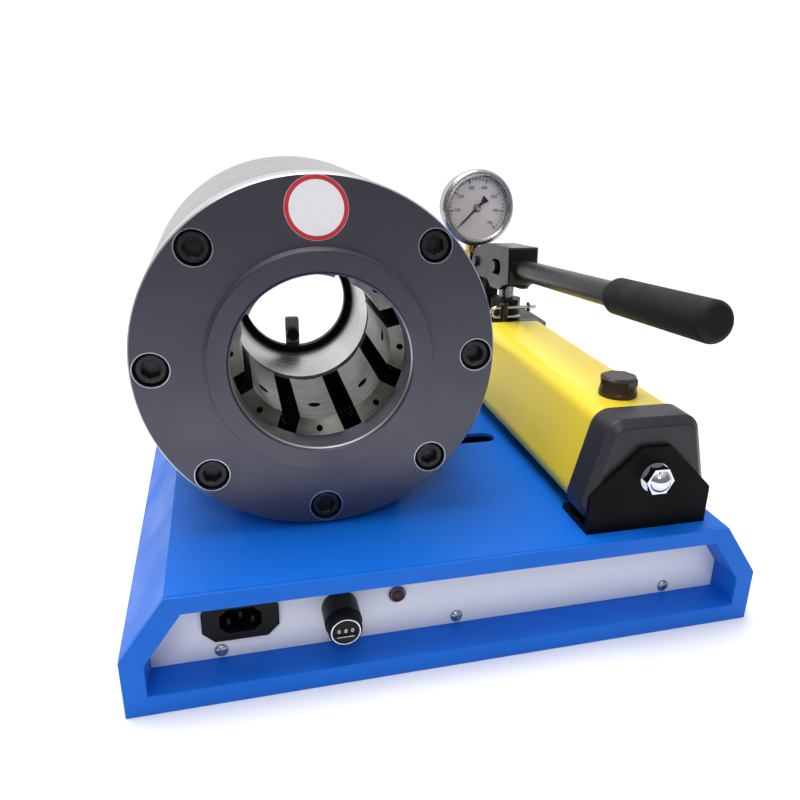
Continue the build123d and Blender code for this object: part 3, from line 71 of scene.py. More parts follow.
WELD = 2e-6
# Nearly all values of a noise texture lie between these two.
NOISE_LOW, NOISE_HIGH = 0.3, 0.7
# A font's size is this many times the height of its figures.
FONT_SIZE = 1.35


class Way(Enum):
    """The way that a turned or printed piece faces in the row frame."""

    FRONT = (0.0, -1.0, 0.0)
    BACK = (0.0, 1.0, 0.0)
    UP = (0.0, 0.0, 1.0)


class Body(Enum):
    """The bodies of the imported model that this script's pieces ride on."""

    BASE = "base"
    HANDLE = "handle"
    FILLER = "filler_cap"
    COUNTER = "counter_ring"
    NEEDLE = "gauge_needle"
    DIE_1 = "die_1"
    DIE_2 = "die_2"
    DIE_3 = "die_3"
    DIE_4 = "die_4"
    DIE_5 = "die_5"
    DIE_6 = "die_6"
    DIE_7 = "die_7"
    DIE_8 = "die_8"


def spot(x: float, depth: float, z: float) -> Vector:
    """Gives a point of the row frame in metres.

    Args:
        x: Distance to the right of the base's middle, in mm.
        depth: Distance back from the front of the base, in mm.
        z: Height, in mm.

    Returns:
        The point in metres.
    """
    return Vector((x, depth - BASE_DEPTH / 2, z)) * MM


def linear(code: str) -> tuple[float, float, float, float]:
    """Turns an sRGB hex colour into the linear one that shaders take.

    Args:
        code: Six hex digits after a hash.

    Returns:
        Red, green, blue and a full alpha.
    """
    parts = [int(code[i:i + 2], 16) / 255 for i in (1, 3, 5)]
    red, green, blue = (
        v / 12.92 if v <= 0.04045 else ((v + 0.055) / 1.055) ** 2.4 for v in parts
    )
    return red, green, blue, 1.0


def add_node(
    tree: Tree,
    kind: str,
    settings: Optional[dict[str, Any]] = None,
    inputs: Optional[dict[Any, Any]] = None,
) -> Node:
    """Adds one node with its settings and links.

    Args:
        tree: The node tree that gets it.
        kind: Blender's name for the node.
        settings: Properties of the node and their values.
        inputs: Sockets by name or number, each with a value or the socket that feeds it.

    Returns:
        The new node.
    """
    node = tree.nodes.new(kind)
    for key, value in (settings or {}).items():
        setattr(node, key, value)
    for key, value in (inputs or {}).items():
        if isinstance(value, Socket):
            tree.links.new(value, node.inputs[key])
        else:
            node.inputs[key].default_value = value
    return node


def lathe_rings(tree: Tree, place: Socket, feed: float,
                detail: float) -> tuple[Socket, Socket, Socket]:
    """Adds the rings that a lathe's tool leaves round the head's axis.

    Args:
        tree: The material's node tree.
        place: The place on the surface.
        feed: The rings' spacing, in mm.
        detail: How many finer rings there are.

    Returns:
        The distance from the axis, the distance along it, and the rings' value.
    """
    arm = add_node(tree, "ShaderNodeVectorMath", {"operation": "SUBTRACT"},
                   {0: place, 1: spot(HEAD_X, BASE_DEPTH / 2, HEAD_Z)}).outputs[0]
    across = add_node(tree, "ShaderNodeVectorMath", {"operation": "MULTIPLY"},
                      {0: arm, 1: (1.0, 0.0, 1.0)}).outputs[0]
    radius = add_node(tree, "ShaderNodeVectorMath", {"operation": "LENGTH"},
                      {0: across}).outputs[1]
    along = add_node(tree, "ShaderNodeSeparateXYZ", inputs={0: arm}).outputs[1]
    ring_place = add_node(tree, "ShaderNodeCombineXYZ", inputs={0: radius, 1: along})
    # The tool's feed is finer than this; it is drawn as coarse as it needs to show.
    rings = add_node(tree, "ShaderNodeTexNoise", {"noise_dimensions": "2D"}, {
        "Vector": ring_place.outputs[0], "Scale": 1 / (feed * MM), "Detail": detail})
    return radius, along, rings.outputs[0]


def band(tree: Tree, radius: Socket, along: Socket, radii: Span, depth: float) -> Socket:
    """Marks a ring of a turned surface with 1 and the rest with 0.

    Args:
        tree: The material's node tree.
        radius: The distance from the axis.
        along: The distance along it.
        radii: The ring's inner and outer radius, in mm.
        depth: Only what lies in front of this depth counts, in mm.

    Returns:
        The mark.
    """
    inner, outer = radii
    ring = add_node(tree, "ShaderNodeMath", {"operation": "COMPARE"}, {
        0: radius, 1: (inner + outer) / 2 * MM, 2: (outer - inner) / 2 * MM})
    near = add_node(tree, "ShaderNodeMath", {"operation": "LESS_THAN"}, {
        0: along, 1: spot(0, depth, 0).y})
    return add_node(tree, "ShaderNodeMath", {"operation": "MULTIPLY"},
                    {0: ring.outputs[0], 1: near.outputs[0]}).outputs[0]


@dataclass(frozen=True)
class Finish:
    """A surface finish: its name and the material slot of the record that it belongs to."""

    name: str
    slot: str

    def surface(self, tree: Tree, place: Socket) -> Node:
        """Builds the shader of the finish; each kind of finish has its own.

        Args:
            tree: The material's node tree.
            place: The place on the surface.

        Returns:
            The shader node.
        """
        raise NotImplementedError

    def material(self) -> bpy.types.Material:
        """Makes the finish's material once and gives it again afterwards.

        Returns:
            The material.
        """
        made = bpy.data.materials.get(self.name)
        if made is None:
            made = bpy.data.materials.new(self.name)
            made.use_nodes = True
            tree = made.node_tree
            tree.nodes.clear()
            place = add_node(tree, "ShaderNodeTexCoord").outputs["Object"]
            shader = self.surface(tree, place)
            add_node(tree, "ShaderNodeOutputMaterial", inputs={"Surface": shader.outputs[0]})
        return made


@dataclass(frozen=True)
class PowderCoat(Finish):
    """Polyester powder coat, sprayed and baked: an even gloss over a fine orange peel."""

    colour: str
    shade: str
    roughness: float = 0.3
    peel: float = 1.6
    peel_height: float = 0.012
    coat: float = 0.0
    ior: float = 1.36
    drift: float = 110.0
    patch: float = 35.0

    def surface(self, tree: Tree, place: Socket) -> Node:
        """Builds the coat's shader.

        Args:
            tree: The material's node tree.
            place: The place on the surface.

        Returns:
            The shader node.
        """
        # The film's thickness drifts, which shifts its depth of colour.
        drift = add_node(tree, "ShaderNodeTexNoise", inputs={
            "Vector": place, "Scale": 1 / (self.drift * MM), "Detail": 2.0, "Roughness": 0.5})
        colour = add_node(tree, "ShaderNodeMix", {"data_type": "RGBA"}, {
            0: drift.outputs[0], 6: linear(self.colour), 7: linear(self.shade)})
        peel = add_node(tree, "ShaderNodeTexNoise", inputs={
            "Vector": place, "Scale": 1 / (self.peel * MM), "Detail": 1.0})
        bump = add_node(tree, "ShaderNodeBump", inputs={
            "Strength": 1.0, "Distance": self.peel_height * MM, "Height": peel.outputs[0]})
        # Handling leaves patches that are a little duller.
        patch = add_node(tree, "ShaderNodeTexNoise", inputs={
            "Vector": place, "Scale": 1 / (self.patch * MM), "Detail": 4.0})
        dull = add_node(tree, "ShaderNodeMapRange", inputs={
            "Value": patch.outputs[0], "From Min": 0.35, "From Max": 0.7,
            "To Min": self.roughness * 0.85, "To Max": self.roughness * 1.2})
        return add_node(tree, "ShaderNodeBsdfPrincipled", inputs={
            "Base Color": colour.outputs[2], "Roughness": dull.outputs[0],
            "Normal": bump.outputs[0], "IOR": self.ior, "Coat Weight": self.coat,
            "Coat Roughness": 0.12})


@dataclass(frozen=True)
class TurnedSteel(Finish):
    """Carbon steel off the lathe: rings that follow the tool, bright and slightly oiled."""

    colour: str
    stain: str
    feed: float = 0.9
    ring_height: float = 0.006
    roughness: float = 0.24
    stain_share: float = 0.35
    stain_size: float = 18.0
    # The colour, radii and depth of the painted shade inside the head.
    dull: str = "#1d1d1b"
    dull_radii: Span = (0.0, 0.0)
    dull_depth: float = 0.0

    def surface(self, tree: Tree, place: Socket) -> Node:
        """Builds the turned steel's shader.

        Args:
            tree: The material's node tree.
            place: The place on the surface.

        Returns:
            The shader node.
        """
        radius, along, rings = lathe_rings(tree, place, self.feed, 3.0)
        bump = add_node(tree, "ShaderNodeBump", inputs={
            "Strength": 1.0, "Distance": self.ring_height * MM, "Height": rings})
        oil = add_node(tree, "ShaderNodeTexNoise", inputs={
            "Vector": place, "Scale": 1 / (self.stain_size * MM), "Detail": 5.0,
            "Roughness": 0.62})
        oil_share = add_node(tree, "ShaderNodeMapRange", inputs={
            "Value": oil.outputs[0], "From Min": 0.42, "From Max": 0.72,
            "To Min": 0.0, "To Max": self.stain_share})
        clean = add_node(tree, "ShaderNodeMix", {"data_type": "RGBA"}, {
            0: oil_share.outputs[0], 6: linear(self.colour), 7: linear(self.stain)})
        # Inside the head the steel is painted dark, as painted shade.
        painted_shade = band(tree, radius, along, self.dull_radii, self.dull_depth)
        colour = add_node(tree, "ShaderNodeMix", {"data_type": "RGBA"}, {
            0: painted_shade, 6: clean.outputs[2], 7: linear(self.dull)})
        gloss = add_node(tree, "ShaderNodeMapRange", inputs={
            "Value": rings, "From Min": NOISE_LOW, "From Max": NOISE_HIGH,
            "To Min": self.roughness * 0.8, "To Max": self.roughness * 1.35})
        return add_node(tree, "ShaderNodeBsdfPrincipled", inputs={
            "Base Color": colour.outputs[2], "Metallic": 1.0,
            "Roughness": gloss.outputs[0], "Normal": bump.outputs[0]})


@dataclass(frozen=True)
class BlackenedFlange(Finish):
    """Turned steel, chemically blackened, with a bare bright outer rim and painted highlights on
    the throat's lip and the boss's bevel.
    """

    colour: str = "#575661"
    dark: str = "#4a4a55"
    bright: str = "#b9b9ba"
    rim_radius: float = 106.7
    lip_radii: Span = (52.6, 53.7)
    lip_depth: float = 58.1
    boss_radii: Span = (66.3, 68.2)
    boss_depth: float = 61.6
    boss_share: float = 0.8
    feed: float = 1.1
    ring_height: float = 0.004
    cloud: float = 60.0

    def surface(self, tree: Tree, place: Socket) -> Node:
        """Builds the flange's shader: a dark face, a bare rim and painted highlights, chosen by
        radius.

        Args:
            tree: The material's node tree.
            place: The place on the surface.

        Returns:
            The shader node.
        """
        radius, along, rings = lathe_rings(tree, place, self.feed, 2.0)
        bump = add_node(tree, "ShaderNodeBump", inputs={
            "Strength": 1.0, "Distance": self.ring_height * MM, "Height": rings})
        cloud = add_node(tree, "ShaderNodeTexNoise", inputs={
            "Vector": place, "Scale": 1 / (self.cloud * MM), "Detail": 4.0})
        dark = add_node(tree, "ShaderNodeMix", {"data_type": "RGBA"}, {
            0: cloud.outputs[0], 6: linear(self.colour), 7: linear(self.dark)})
        rim = add_node(tree, "ShaderNodeMath", {"operation": "GREATER_THAN"}, {
            0: radius, 1: self.rim_radius * MM})
        # The bright bands on the throat's lip and the boss's bevel are painted highlights, the
        # boss's at part strength.
        lip = band(tree, radius, along, self.lip_radii, self.lip_depth)
        boss = band(tree, radius, along, self.boss_radii, self.boss_depth)
        boss_highlight = add_node(tree, "ShaderNodeMath", {"operation": "MULTIPLY"},
                             {0: boss, 1: self.boss_share})
        edges = add_node(tree, "ShaderNodeMath", {"operation": "MAXIMUM"},
                         {0: lip, 1: boss_highlight.outputs[0]})
        # The outer rim is bare bright steel; the other bright bands added to it are painted
        # highlights.
        cut = add_node(tree, "ShaderNodeMath", {"operation": "MAXIMUM"},
                       {0: rim.outputs[0], 1: edges.outputs[0]})
        colour = add_node(tree, "ShaderNodeMix", {"data_type": "RGBA"}, {
            0: cut.outputs[0], 6: dark.outputs[2], 7: linear(self.bright)})
        gloss = add_node(tree, "ShaderNodeMapRange", inputs={
            "Value": cloud.outputs[0], "From Min": NOISE_LOW, "From Max": NOISE_HIGH,
            "To Min": 0.3, "To Max": 0.4})
        metal = add_node(tree, "ShaderNodeMapRange", inputs={
            "Value": cut.outputs[0], "To Min": 0.75, "To Max": 1.0})
        return add_node(tree, "ShaderNodeBsdfPrincipled", inputs={
            "Base Color": colour.outputs[2], "Metallic": metal.outputs[0],
            "Roughness": gloss.outputs[0], "Normal": bump.outputs[0]})


@dataclass(frozen=True)
class PlatedSteel(Finish):
    """Steel with a bright plating: zinc, nickel or chrome, with faint polishing lines."""

    colour: str
    tint: str
    roughness: float
    line: float = 0.5
    line_height: float = 0.002
    haze: float = 9.0

    def surface(self, tree: Tree, place: Socket) -> Node:
        """Builds the plating's shader.

        Args:
            tree: The material's node tree.
            place: The place on the surface.

        Returns:
            The shader node.
        """
        stretch = add_node(tree, "ShaderNodeVectorMath", {"operation": "MULTIPLY"},
                           {0: place, 1: (1.0, 1.0, 0.15)})
        # The polishing lines are finer than this; they are drawn as coarse as they need to show.
        lines = add_node(tree, "ShaderNodeTexNoise", inputs={
            "Vector": stretch.outputs[0], "Scale": 1 / (self.line * MM), "Detail": 3.0})
        bump = add_node(tree, "ShaderNodeBump", inputs={
            "Strength": 1.0, "Distance": self.line_height * MM, "Height": lines.outputs[0]})
        haze = add_node(tree, "ShaderNodeTexNoise", inputs={
            "Vector": place, "Scale": 1 / (self.haze * MM), "Detail": 3.0})
        colour = add_node(tree, "ShaderNodeMix", {"data_type": "RGBA"}, {
            0: haze.outputs[0], 6: linear(self.colour), 7: linear(self.tint)})
        gloss = add_node(tree, "ShaderNodeMapRange", inputs={
            "Value": haze.outputs[0], "From Min": NOISE_LOW, "From Max": NOISE_HIGH,
            "To Min": self.roughness * 0.7, "To Max": self.roughness * 1.4})
        return add_node(tree, "ShaderNodeBsdfPrincipled", inputs={
            "Base Color": colour.outputs[2], "Metallic": 1.0,
            "Roughness": gloss.outputs[0], "Normal": bump.outputs[0]})


@dataclass(frozen=True)
class BlackOxide(Finish):
    """Alloy steel in a hot black-oxide bath: nearly black, a little oily, with bare specks."""

    colour: str = "#28282c"
    bare: str = "#5c5c62"
    roughness: float = 0.32
    speck: float = 1.4
    speck_height: float = 0.006

    def surface(self, tree: Tree, place: Socket) -> Node:
        """Builds the black oxide's shader.

        Args:
            tree: The material's node tree.
            place: The place on the surface.

        Returns:
            The shader node.
        """
        speck = add_node(tree, "ShaderNodeTexNoise", inputs={
            "Vector": place, "Scale": 1 / (self.speck * MM), "Detail": 5.0, "Roughness": 0.7})
        share = add_node(tree, "ShaderNodeMapRange", inputs={
            "Value": speck.outputs[0], "From Min": 0.55, "From Max": 0.78,
            "To Min": 0.0, "To Max": 0.8})
        colour = add_node(tree, "ShaderNodeMix", {"data_type": "RGBA"}, {
            0: share.outputs[0], 6: linear(self.colour), 7: linear(self.bare)})
        bump = add_node(tree, "ShaderNodeBump", inputs={
            "Strength": 1.0, "Distance": self.speck_height * MM, "Height": speck.outputs[0]})
        gloss = add_node(tree, "ShaderNodeMapRange", inputs={
            "Value": speck.outputs[0], "From Min": NOISE_LOW, "From Max": NOISE_HIGH,
            "To Min": self.roughness * 0.85, "To Max": self.roughness * 1.2})
        return add_node(tree, "ShaderNodeBsdfPrincipled", inputs={
            "Base Color": colour.outputs[2], "Metallic": 0.6,
            "Roughness": gloss.outputs[0], "Normal": bump.outputs[0]})


@dataclass(frozen=True)
class MouldedPlastic(Finish):
    """Injection-moulded plastic from a spark-eroded tool: fine even grain, soft gloss."""

    colour: str
    light: str
    roughness: float = 0.45
    grain: float = 0.7
    grain_height: float = 0.012
    ior: float = 1.42
    flow: float = 22.0

    def surface(self, tree: Tree, place: Socket) -> Node:
        """Builds the plastic's shader.

        Args:
            tree: The material's node tree.
            place: The place on the surface.

        Returns:
            The shader node.
        """
        # The eroded grain is finer than this; it is drawn as coarse as it needs to show.
        grain = add_node(tree, "ShaderNodeTexVoronoi", {"feature": "SMOOTH_F1"}, {
            "Vector": place, "Scale": 1 / (self.grain * MM), "Smoothness": 0.7})
        bump = add_node(tree, "ShaderNodeBump", inputs={
            "Strength": 1.0, "Distance": self.grain_height * MM, "Height": grain.outputs[0]})
        flow = add_node(tree, "ShaderNodeTexNoise", inputs={
            "Vector": place, "Scale": 1 / (self.flow * MM), "Detail": 3.0, "Distortion": 0.8})
        colour = add_node(tree, "ShaderNodeMix", {"data_type": "RGBA"}, {
            0: flow.outputs[0], 6: linear(self.colour), 7: linear(self.light)})
        gloss = add_node(tree, "ShaderNodeMapRange", inputs={
            "Value": flow.outputs[0], "From Min": NOISE_LOW, "From Max": NOISE_HIGH,
            "To Min": self.roughness * 0.9, "To Max": self.roughness * 1.15})
        return add_node(tree, "ShaderNodeBsdfPrincipled", inputs={
            "Base Color": colour.outputs[2], "Roughness": gloss.outputs[0],
            "IOR": self.ior, "Normal": bump.outputs[0]})


@dataclass(frozen=True)
class PrintInk(Finish):
    """Screen-printed or enamelled colour: flat, slightly dusty, with an uneven film."""

    colour: str
    shade: str
    roughness: float = 0.5
    film: float = 6.0
    film_height: float = 0.004

    def surface(self, tree: Tree, place: Socket) -> Node:
        """Builds the print's shader.

        Args:
            tree: The material's node tree.
            place: The place on the surface.

        Returns:
            The shader node.
        """
        film = add_node(tree, "ShaderNodeTexNoise", inputs={
            "Vector": place, "Scale": 1 / (self.film * MM), "Detail": 4.0})
        colour = add_node(tree, "ShaderNodeMix", {"data_type": "RGBA"}, {
            0: film.outputs[0], 6: linear(self.colour), 7: linear(self.shade)})
        bump = add_node(tree, "ShaderNodeBump", inputs={
            "Strength": 1.0, "Distance": self.film_height * MM, "Height": film.outputs[0]})
        return add_node(tree, "ShaderNodeBsdfPrincipled", inputs={
            "Base Color": colour.outputs[2], "Roughness": self.roughness,
            "IOR": 1.5, "Normal": bump.outputs[0]})


@dataclass(frozen=True)
class ClearGlass(Finish):
    """Float glass or clear acrylic: nearly colourless, faintly wavy from its pressing."""

    tint: str = "#2a2e30"
    share: float = 0.06
    wave: float = 15.0
    wave_height: float = 0.004

    def surface(self, tree: Tree, place: Socket) -> Node:
        """Builds the glass's shader: a thin pane that mostly lets the dial show.

        Args:
            tree: The material's node tree.
            place: The place on the surface.

        Returns:
            The shader node.
        """
        wave = add_node(tree, "ShaderNodeTexNoise", inputs={
            "Vector": place, "Scale": 1 / (self.wave * MM), "Detail": 1.0})
        bump = add_node(tree, "ShaderNodeBump", inputs={
            "Strength": 1.0, "Distance": self.wave_height * MM, "Height": wave.outputs[0]})
        return add_node(tree, "ShaderNodeBsdfPrincipled", inputs={
            "Base Color": linear(self.tint), "Roughness": 0.03, "IOR": 1.5,
            "Alpha": self.share, "Normal": bump.outputs[0]})


@dataclass(frozen=True)
class LampLens(Finish):
    """Red polycarbonate over an unlit lamp: deep colour with a wet-looking front."""

    colour: str = "#3e0a15"
    deep: str = "#210509"
    cell: float = 1.5
    cell_height: float = 0.05

    def surface(self, tree: Tree, place: Socket) -> Node:
        """Builds the lens's shader.

        Args:
            tree: The material's node tree.
            place: The place on the surface.

        Returns:
            The shader node.
        """
        cells = add_node(tree, "ShaderNodeTexVoronoi", inputs={
            "Vector": place, "Scale": 1 / (self.cell * MM)})
        colour = add_node(tree, "ShaderNodeMix", {"data_type": "RGBA"}, {
            0: cells.outputs[0], 6: linear(self.colour), 7: linear(self.deep)})
        bump = add_node(tree, "ShaderNodeBump", inputs={
            "Strength": 0.5, "Distance": self.cell_height * MM, "Height": cells.outputs[0]})
        return add_node(tree, "ShaderNodeBsdfPrincipled", inputs={
            "Base Color": colour.outputs[2], "Roughness": 0.28, "IOR": 1.4,
            "Normal": bump.outputs[0]})


# Folded sheet, powder coated: a saturated blue with a soft, even sheen.
BASE_BLUE = PowderCoat("base_blue_powder_coat", "blue_enamel", "#0e6ad4", "#0a61c8", 0.46, ior=1.28)
# A finer powder coat: cold white, with reflections that blur away.
PANEL_WHITE = PowderCoat("panel_white_powder_coat", "panel_enamel", "#f1f2f6", "#e9eaf0", 0.42,
                         peel=1.1)
# Sprayed enamel: warm yellow with a clear highlight along the tank.
TANK_YELLOW = PowderCoat("tank_yellow_enamel", "yellow_enamel", "#f1d83c", "#e9cc30", 0.36,
                         peel=1.3, peel_height=0.008, coat=0.1)
# Enamel over a machined block: black, its highlight broken by a coarse peel.
PUMP_BLACK = PowderCoat("pump_black_enamel", "black_enamel", "#0e0e10", "#151517", 0.42,
                        peel=1.8, peel_height=0.02)
# The foot's enamel is duller: black with hardly a highlight.
FOOT_BLACK = PowderCoat("foot_black_enamel", "black_enamel", "#08080a", "#0d0d10", 0.5,
                        peel=1.8, peel_height=0.02, ior=1.18)
# Lacquer on drawn tube: black with a narrow bright streak.
HANDLE_BLACK = PowderCoat("handle_black_lacquer", "black_enamel", "#101012", "#17171a", 0.3,
                          peel=1.4, peel_height=0.008)
# Turned and blackened: a dark grey face with a bare outer rim, and painted highlights on the
# throat's lip and the boss's bevel.
FLANGE_DARK = BlackenedFlange("blackened_flange_steel", "dark_flange")
# Turned and left bare: mid grey with fine rings, with painted shade inside the head.
BARREL_STEEL = TurnedSteel("turned_barrel_steel", "machined_steel", "#838486", "#6b6c69",
                           dull_radii=(0.0, 88.0), dull_depth=187.0)
# Honed: the palest of the turned steels, with painted shade where it lies in the head.
PISTON_STEEL = TurnedSteel("honed_piston_steel", "machined_steel", "#c6c7c6", "#9b9c95",
                           feed=0.6, roughness=0.27, dull_radii=(50.5, 90.0), dull_depth=187.0)
# Hardened: a brownish grey with darker stains.
DIE_STEEL = TurnedSteel("hardened_die_steel", "die_steel", "#6c6b65", "#424138", feed=0.7,
                        roughness=0.3, stain_share=0.7)
# Drawn wire: dark grey, with a thin line of light on each coil.
SPRING_STEEL = PlatedSteel("drawn_spring_steel", "spring_steel", "#3f3f3d", "#32322f", 0.36)
# Nickel plate: a warm grey mirror, a little blurred.
LAMP_METAL = PlatedSteel("lamp_bezel_nickel", "chrome", "#8c8487", "#77696c", 0.24)
# Hot black oxide: satin black with bare specks.
SCREW_BLACK = BlackOxide("black_oxide_screw", "black_screw")
# Zinc plate: pale bluish grey, softly blurred.
ZINC = PlatedSteel("zinc_plated_steel", "zinc", "#c9ccd0", "#a7adb5", 0.3)
# Chrome plate: a clear, pale mirror.
CHROME = PlatedSteel("bright_chrome", "chrome", "#e2e3e6", "#cfd1d6", 0.09)
# Satin-polished steel: a pale mirror, well blurred.
GAUGE_STEEL = PlatedSteel("gauge_satin_steel", "chrome", "#b6b8ba", "#9da0a3", 0.27)
# Turned brass: a warm gold with soft highlights.
BRASS = PlatedSteel("turned_brass", "brass", "#d8b878", "#bd9758", 0.24)
# Moulded polyamide: a faintly violet black with a soft gloss.
CAP_BLACK = MouldedPlastic("cap_black_polyamide", "black_plastic", "#26242a", "#2f2c32", 0.42)
# Moulded sockets and housings: deep black with little gloss.
FITTING_BLACK = MouldedPlastic("fitting_black_plastic", "black_plastic", "#0c0c0e", "#131316",
                               0.42, 0.5, 0.008, ior=1.26)
# Dipped vinyl: a matt black with a coarser grain.
GRIP_BLACK = MouldedPlastic("grip_black_vinyl", "grip", "#0e0e0f", "#161618", 0.6, 0.9, 0.03,
                            ior=1.3)
# Moulded plastic: dark brown with a soft gloss.
FILLER_BROWN = MouldedPlastic("filler_brown_plastic", "black_plastic", "#2b221c", "#352a22", 0.4)
# Nitrile rubber: a dull black.
SEAL_BLACK = MouldedPlastic("seal_nitrile_rubber", "seal", "#121212", "#1c1c1a", 0.55)
# Enamel on a metal dial: a faintly pink white without gloss.
DIAL_WHITE = PrintInk("dial_white_enamel", "dial", "#fdf5f7", "#f8eef1", 0.55)
# Screen-printing inks: flat colour without gloss.
INK_BLACK = PrintInk("black_print", "dial", "#1b1b1f", "#26262b")
INK_GREY = PrintInk("grey_print", "dial", "#33333b", "#3f3f48")
INK_RED = PrintInk("red_print", "dial", "#c8242f", "#b81d2a")
# Printed film: white, a little glossier than the dial.
FILM_WHITE = PrintInk("white_film", "dial", "#efeef2", "#e6e5ea", 0.4)
# Pressed glass: hardly seen but for its highlights.
GLASS = ClearGlass("clear_glass", "glass")
# Moulded polycarbonate: a dark wine red that looks wet.
LENS_RED = LampLens("red_lamp_lens", "red_lens")


def settle(piece: Piece) -> None:
    """Applies a piece's modifiers to its mesh.

    Args:
        piece: The object, linked to the scene.
    """
    graph = bpy.context.evaluated_depsgraph_get()
    graph.update()
    shaped = bpy.data.meshes.new_from_object(piece.evaluated_get(graph))
    piece.modifiers.clear()
    piece.data = shaped


def put(name: str, data: Any) -> Piece:
    """Puts a new object into the scene.

    Args:
        name: The object's name.
        data: Its mesh, curve, light or camera.

    Returns:
        The object.
    """
    made = bpy.data.objects.new(name, data)
    bpy.context.scene.collection.objects.link(made)
    return made


def as_mesh(name: str, shape: Shape) -> bpy.types.Mesh:
    """Turns a built shape into a mesh.

    Args:
        name: The mesh's name.
        shape: The shape, which is freed.

    Returns:
        The mesh.
    """
    mesh = bpy.data.meshes.new(name)
    shape.to_mesh(mesh)
    shape.free()
    return mesh


def shade(mesh: bpy.types.Mesh, angle: float) -> None:
    """Smooths a mesh but keeps edges sharper than an angle, in degrees."""
    mesh.shade_smooth()
    mesh.set_sharp_from_angle(angle=math.radians(angle))


def as_piece(name: str, shape: Shape, finish: Finish, body: Body = Body.BASE,
             angle: float = SMOOTH_ANGLE) -> Piece:
    """Turns a built shape into a finished piece that rides on a body.

    Args:
        name: The piece's name.
        shape: The shape, which is freed.
        finish: Its finish.
        body: The body that carries it.
        angle: Edges sharper than this stay sharp, in degrees.

    Returns:
        The new object.
    """
    bmesh.ops.recalc_face_normals(shape, faces=shape.faces)
    mesh = as_mesh(name, shape)
    mesh.materials.append(finish.material())
    shade(mesh, angle)
    piece = put(name, mesh)
    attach(piece, body.value)
    LOG.info("piece %s rides on %s", name, body.value)
    return piece


def facing(way: Way) -> Matrix:
    """Gives the turn that lays a piece drawn facing up so that it faces a given way.

    Args:
        way: Where the piece's face points.

    Returns:
        A 4 by 4 rotation matrix.
    """
    out = Vector(way.value)
    if way is Way.UP:
        across = Vector((1.0, 0.0, 0.0))
    else:
        across = Vector((0.0, 0.0, 1.0)).cross(out)
    up = out.cross(across)
    return Matrix((across, up, out)).transposed().to_4x4()


def polar(radius: float, angle: float) -> Span:
    """Gives the point at a distance and an angle, in radians, from the origin."""
    return radius * math.cos(angle), radius * math.sin(angle)


def wall(shape: Shape, first: Sequence[Any], second: Sequence[Any]) -> None:
    """Joins two loops of vertices with faces.

    Args:
        shape: The shape that gets the faces.
        first: The vertices of one loop, or a single one for a point.
        second: The vertices of the other.
    """
    steps = max(len(first), len(second))
    for index in range(steps):
        after = (index + 1) % steps
        corners = [first[index % len(first)], first[after % len(first)],
                   second[after % len(second)], second[index % len(second)]]
        unique = list(dict.fromkeys(corners))
        if len(unique) > 2:
            shape.faces.new(unique)


def turn_on_lathe(shape: Shape, profile: Profile, centre: Vector, way: Way,
                  steps: int = 48, closed: bool = False) -> None:
    """Spins a profile round an axis and adds the result to a shape.

    Args:
        shape: The shape that gets it.
        profile: Radius and distance along the axis for each corner, in mm.
        centre: A point of the axis, in metres.
        way: The way that distances run.
        steps: Facets in a full turn.
        closed: Whether the last corner joins the first, for a ring.
    """
    lay = Matrix.Translation(centre) @ facing(way)
    loops: list[list[bmesh.types.BMVert]] = []
    for radius, run in profile:
        if radius < 1e-6:
            loops.append([shape.verts.new(lay @ Vector((0, 0, run * MM)))])
            continue
        loops.append([shape.verts.new(lay @ Vector(
            (*polar(radius * MM, math.tau * index / steps), run * MM)))
            for index in range(steps)])
    pairs = list(zip(loops, loops[1:]))
    if closed:
        pairs.append((loops[-1], loops[0]))
    for first, second in pairs:
        wall(shape, first, second)


def rectangle(wide: float, tall: float) -> list[Span]:
    """Lists the corners of a rectangle round the origin."""
    x, y = wide / 2, tall / 2
    return [(-x, -y), (x, -y), (x, y), (-x, y)]


def raise_outline(shape: Shape, outline: Profile, centre: Vector, way: Way,
                  low: float, high: float) -> None:
    """Raises a flat outline into a block and adds it to a shape.

    Args:
        shape: The shape that gets it.
        outline: The corners across and up, in mm, in order round it.
        centre: The outline's origin, in metres.
        way: The way that it is raised.
        low: Where the block starts along that way, in mm.
        high: Where it ends, in mm.
    """
    lay = Matrix.Translation(centre) @ facing(way)
    floor = [shape.verts.new(lay @ (Vector((x, y, low)) * MM)) for x, y in outline]
    roof = [shape.verts.new(lay @ (Vector((x, y, high)) * MM)) for x, y in outline]
    wall(shape, floor, roof)
    shape.faces.new(list(reversed(floor)))
    shape.faces.new(roof)


def set_type(shape: Shape, words: str, centre: Vector, way: Way, size: float,
             height: float = 0.05) -> None:
    """Adds raised figures to a shape.

    Args:
        shape: The shape that gets them.
        words: The figures.
        centre: The middle of the figures, in metres.
        way: The way that they face.
        size: Their height, in mm.
        height: How far they are raised, in mm.
    """
    curve = bpy.data.curves.new("figures", "FONT")
    curve.body = words
    curve.size = size * MM * FONT_SIZE
    curve.extrude = height * MM / 2
    curve.align_x = "CENTER"
    curve.align_y = "CENTER"
    holder = put("figures", curve)
    graph = bpy.context.evaluated_depsgraph_get()
    mesh = bpy.data.meshes.new_from_object(holder.evaluated_get(graph))
    mesh.transform(Matrix.Translation(centre) @ facing(way))
    shape.from_mesh(mesh)
    bpy.data.objects.remove(holder)
    bpy.data.meshes.remove(mesh)


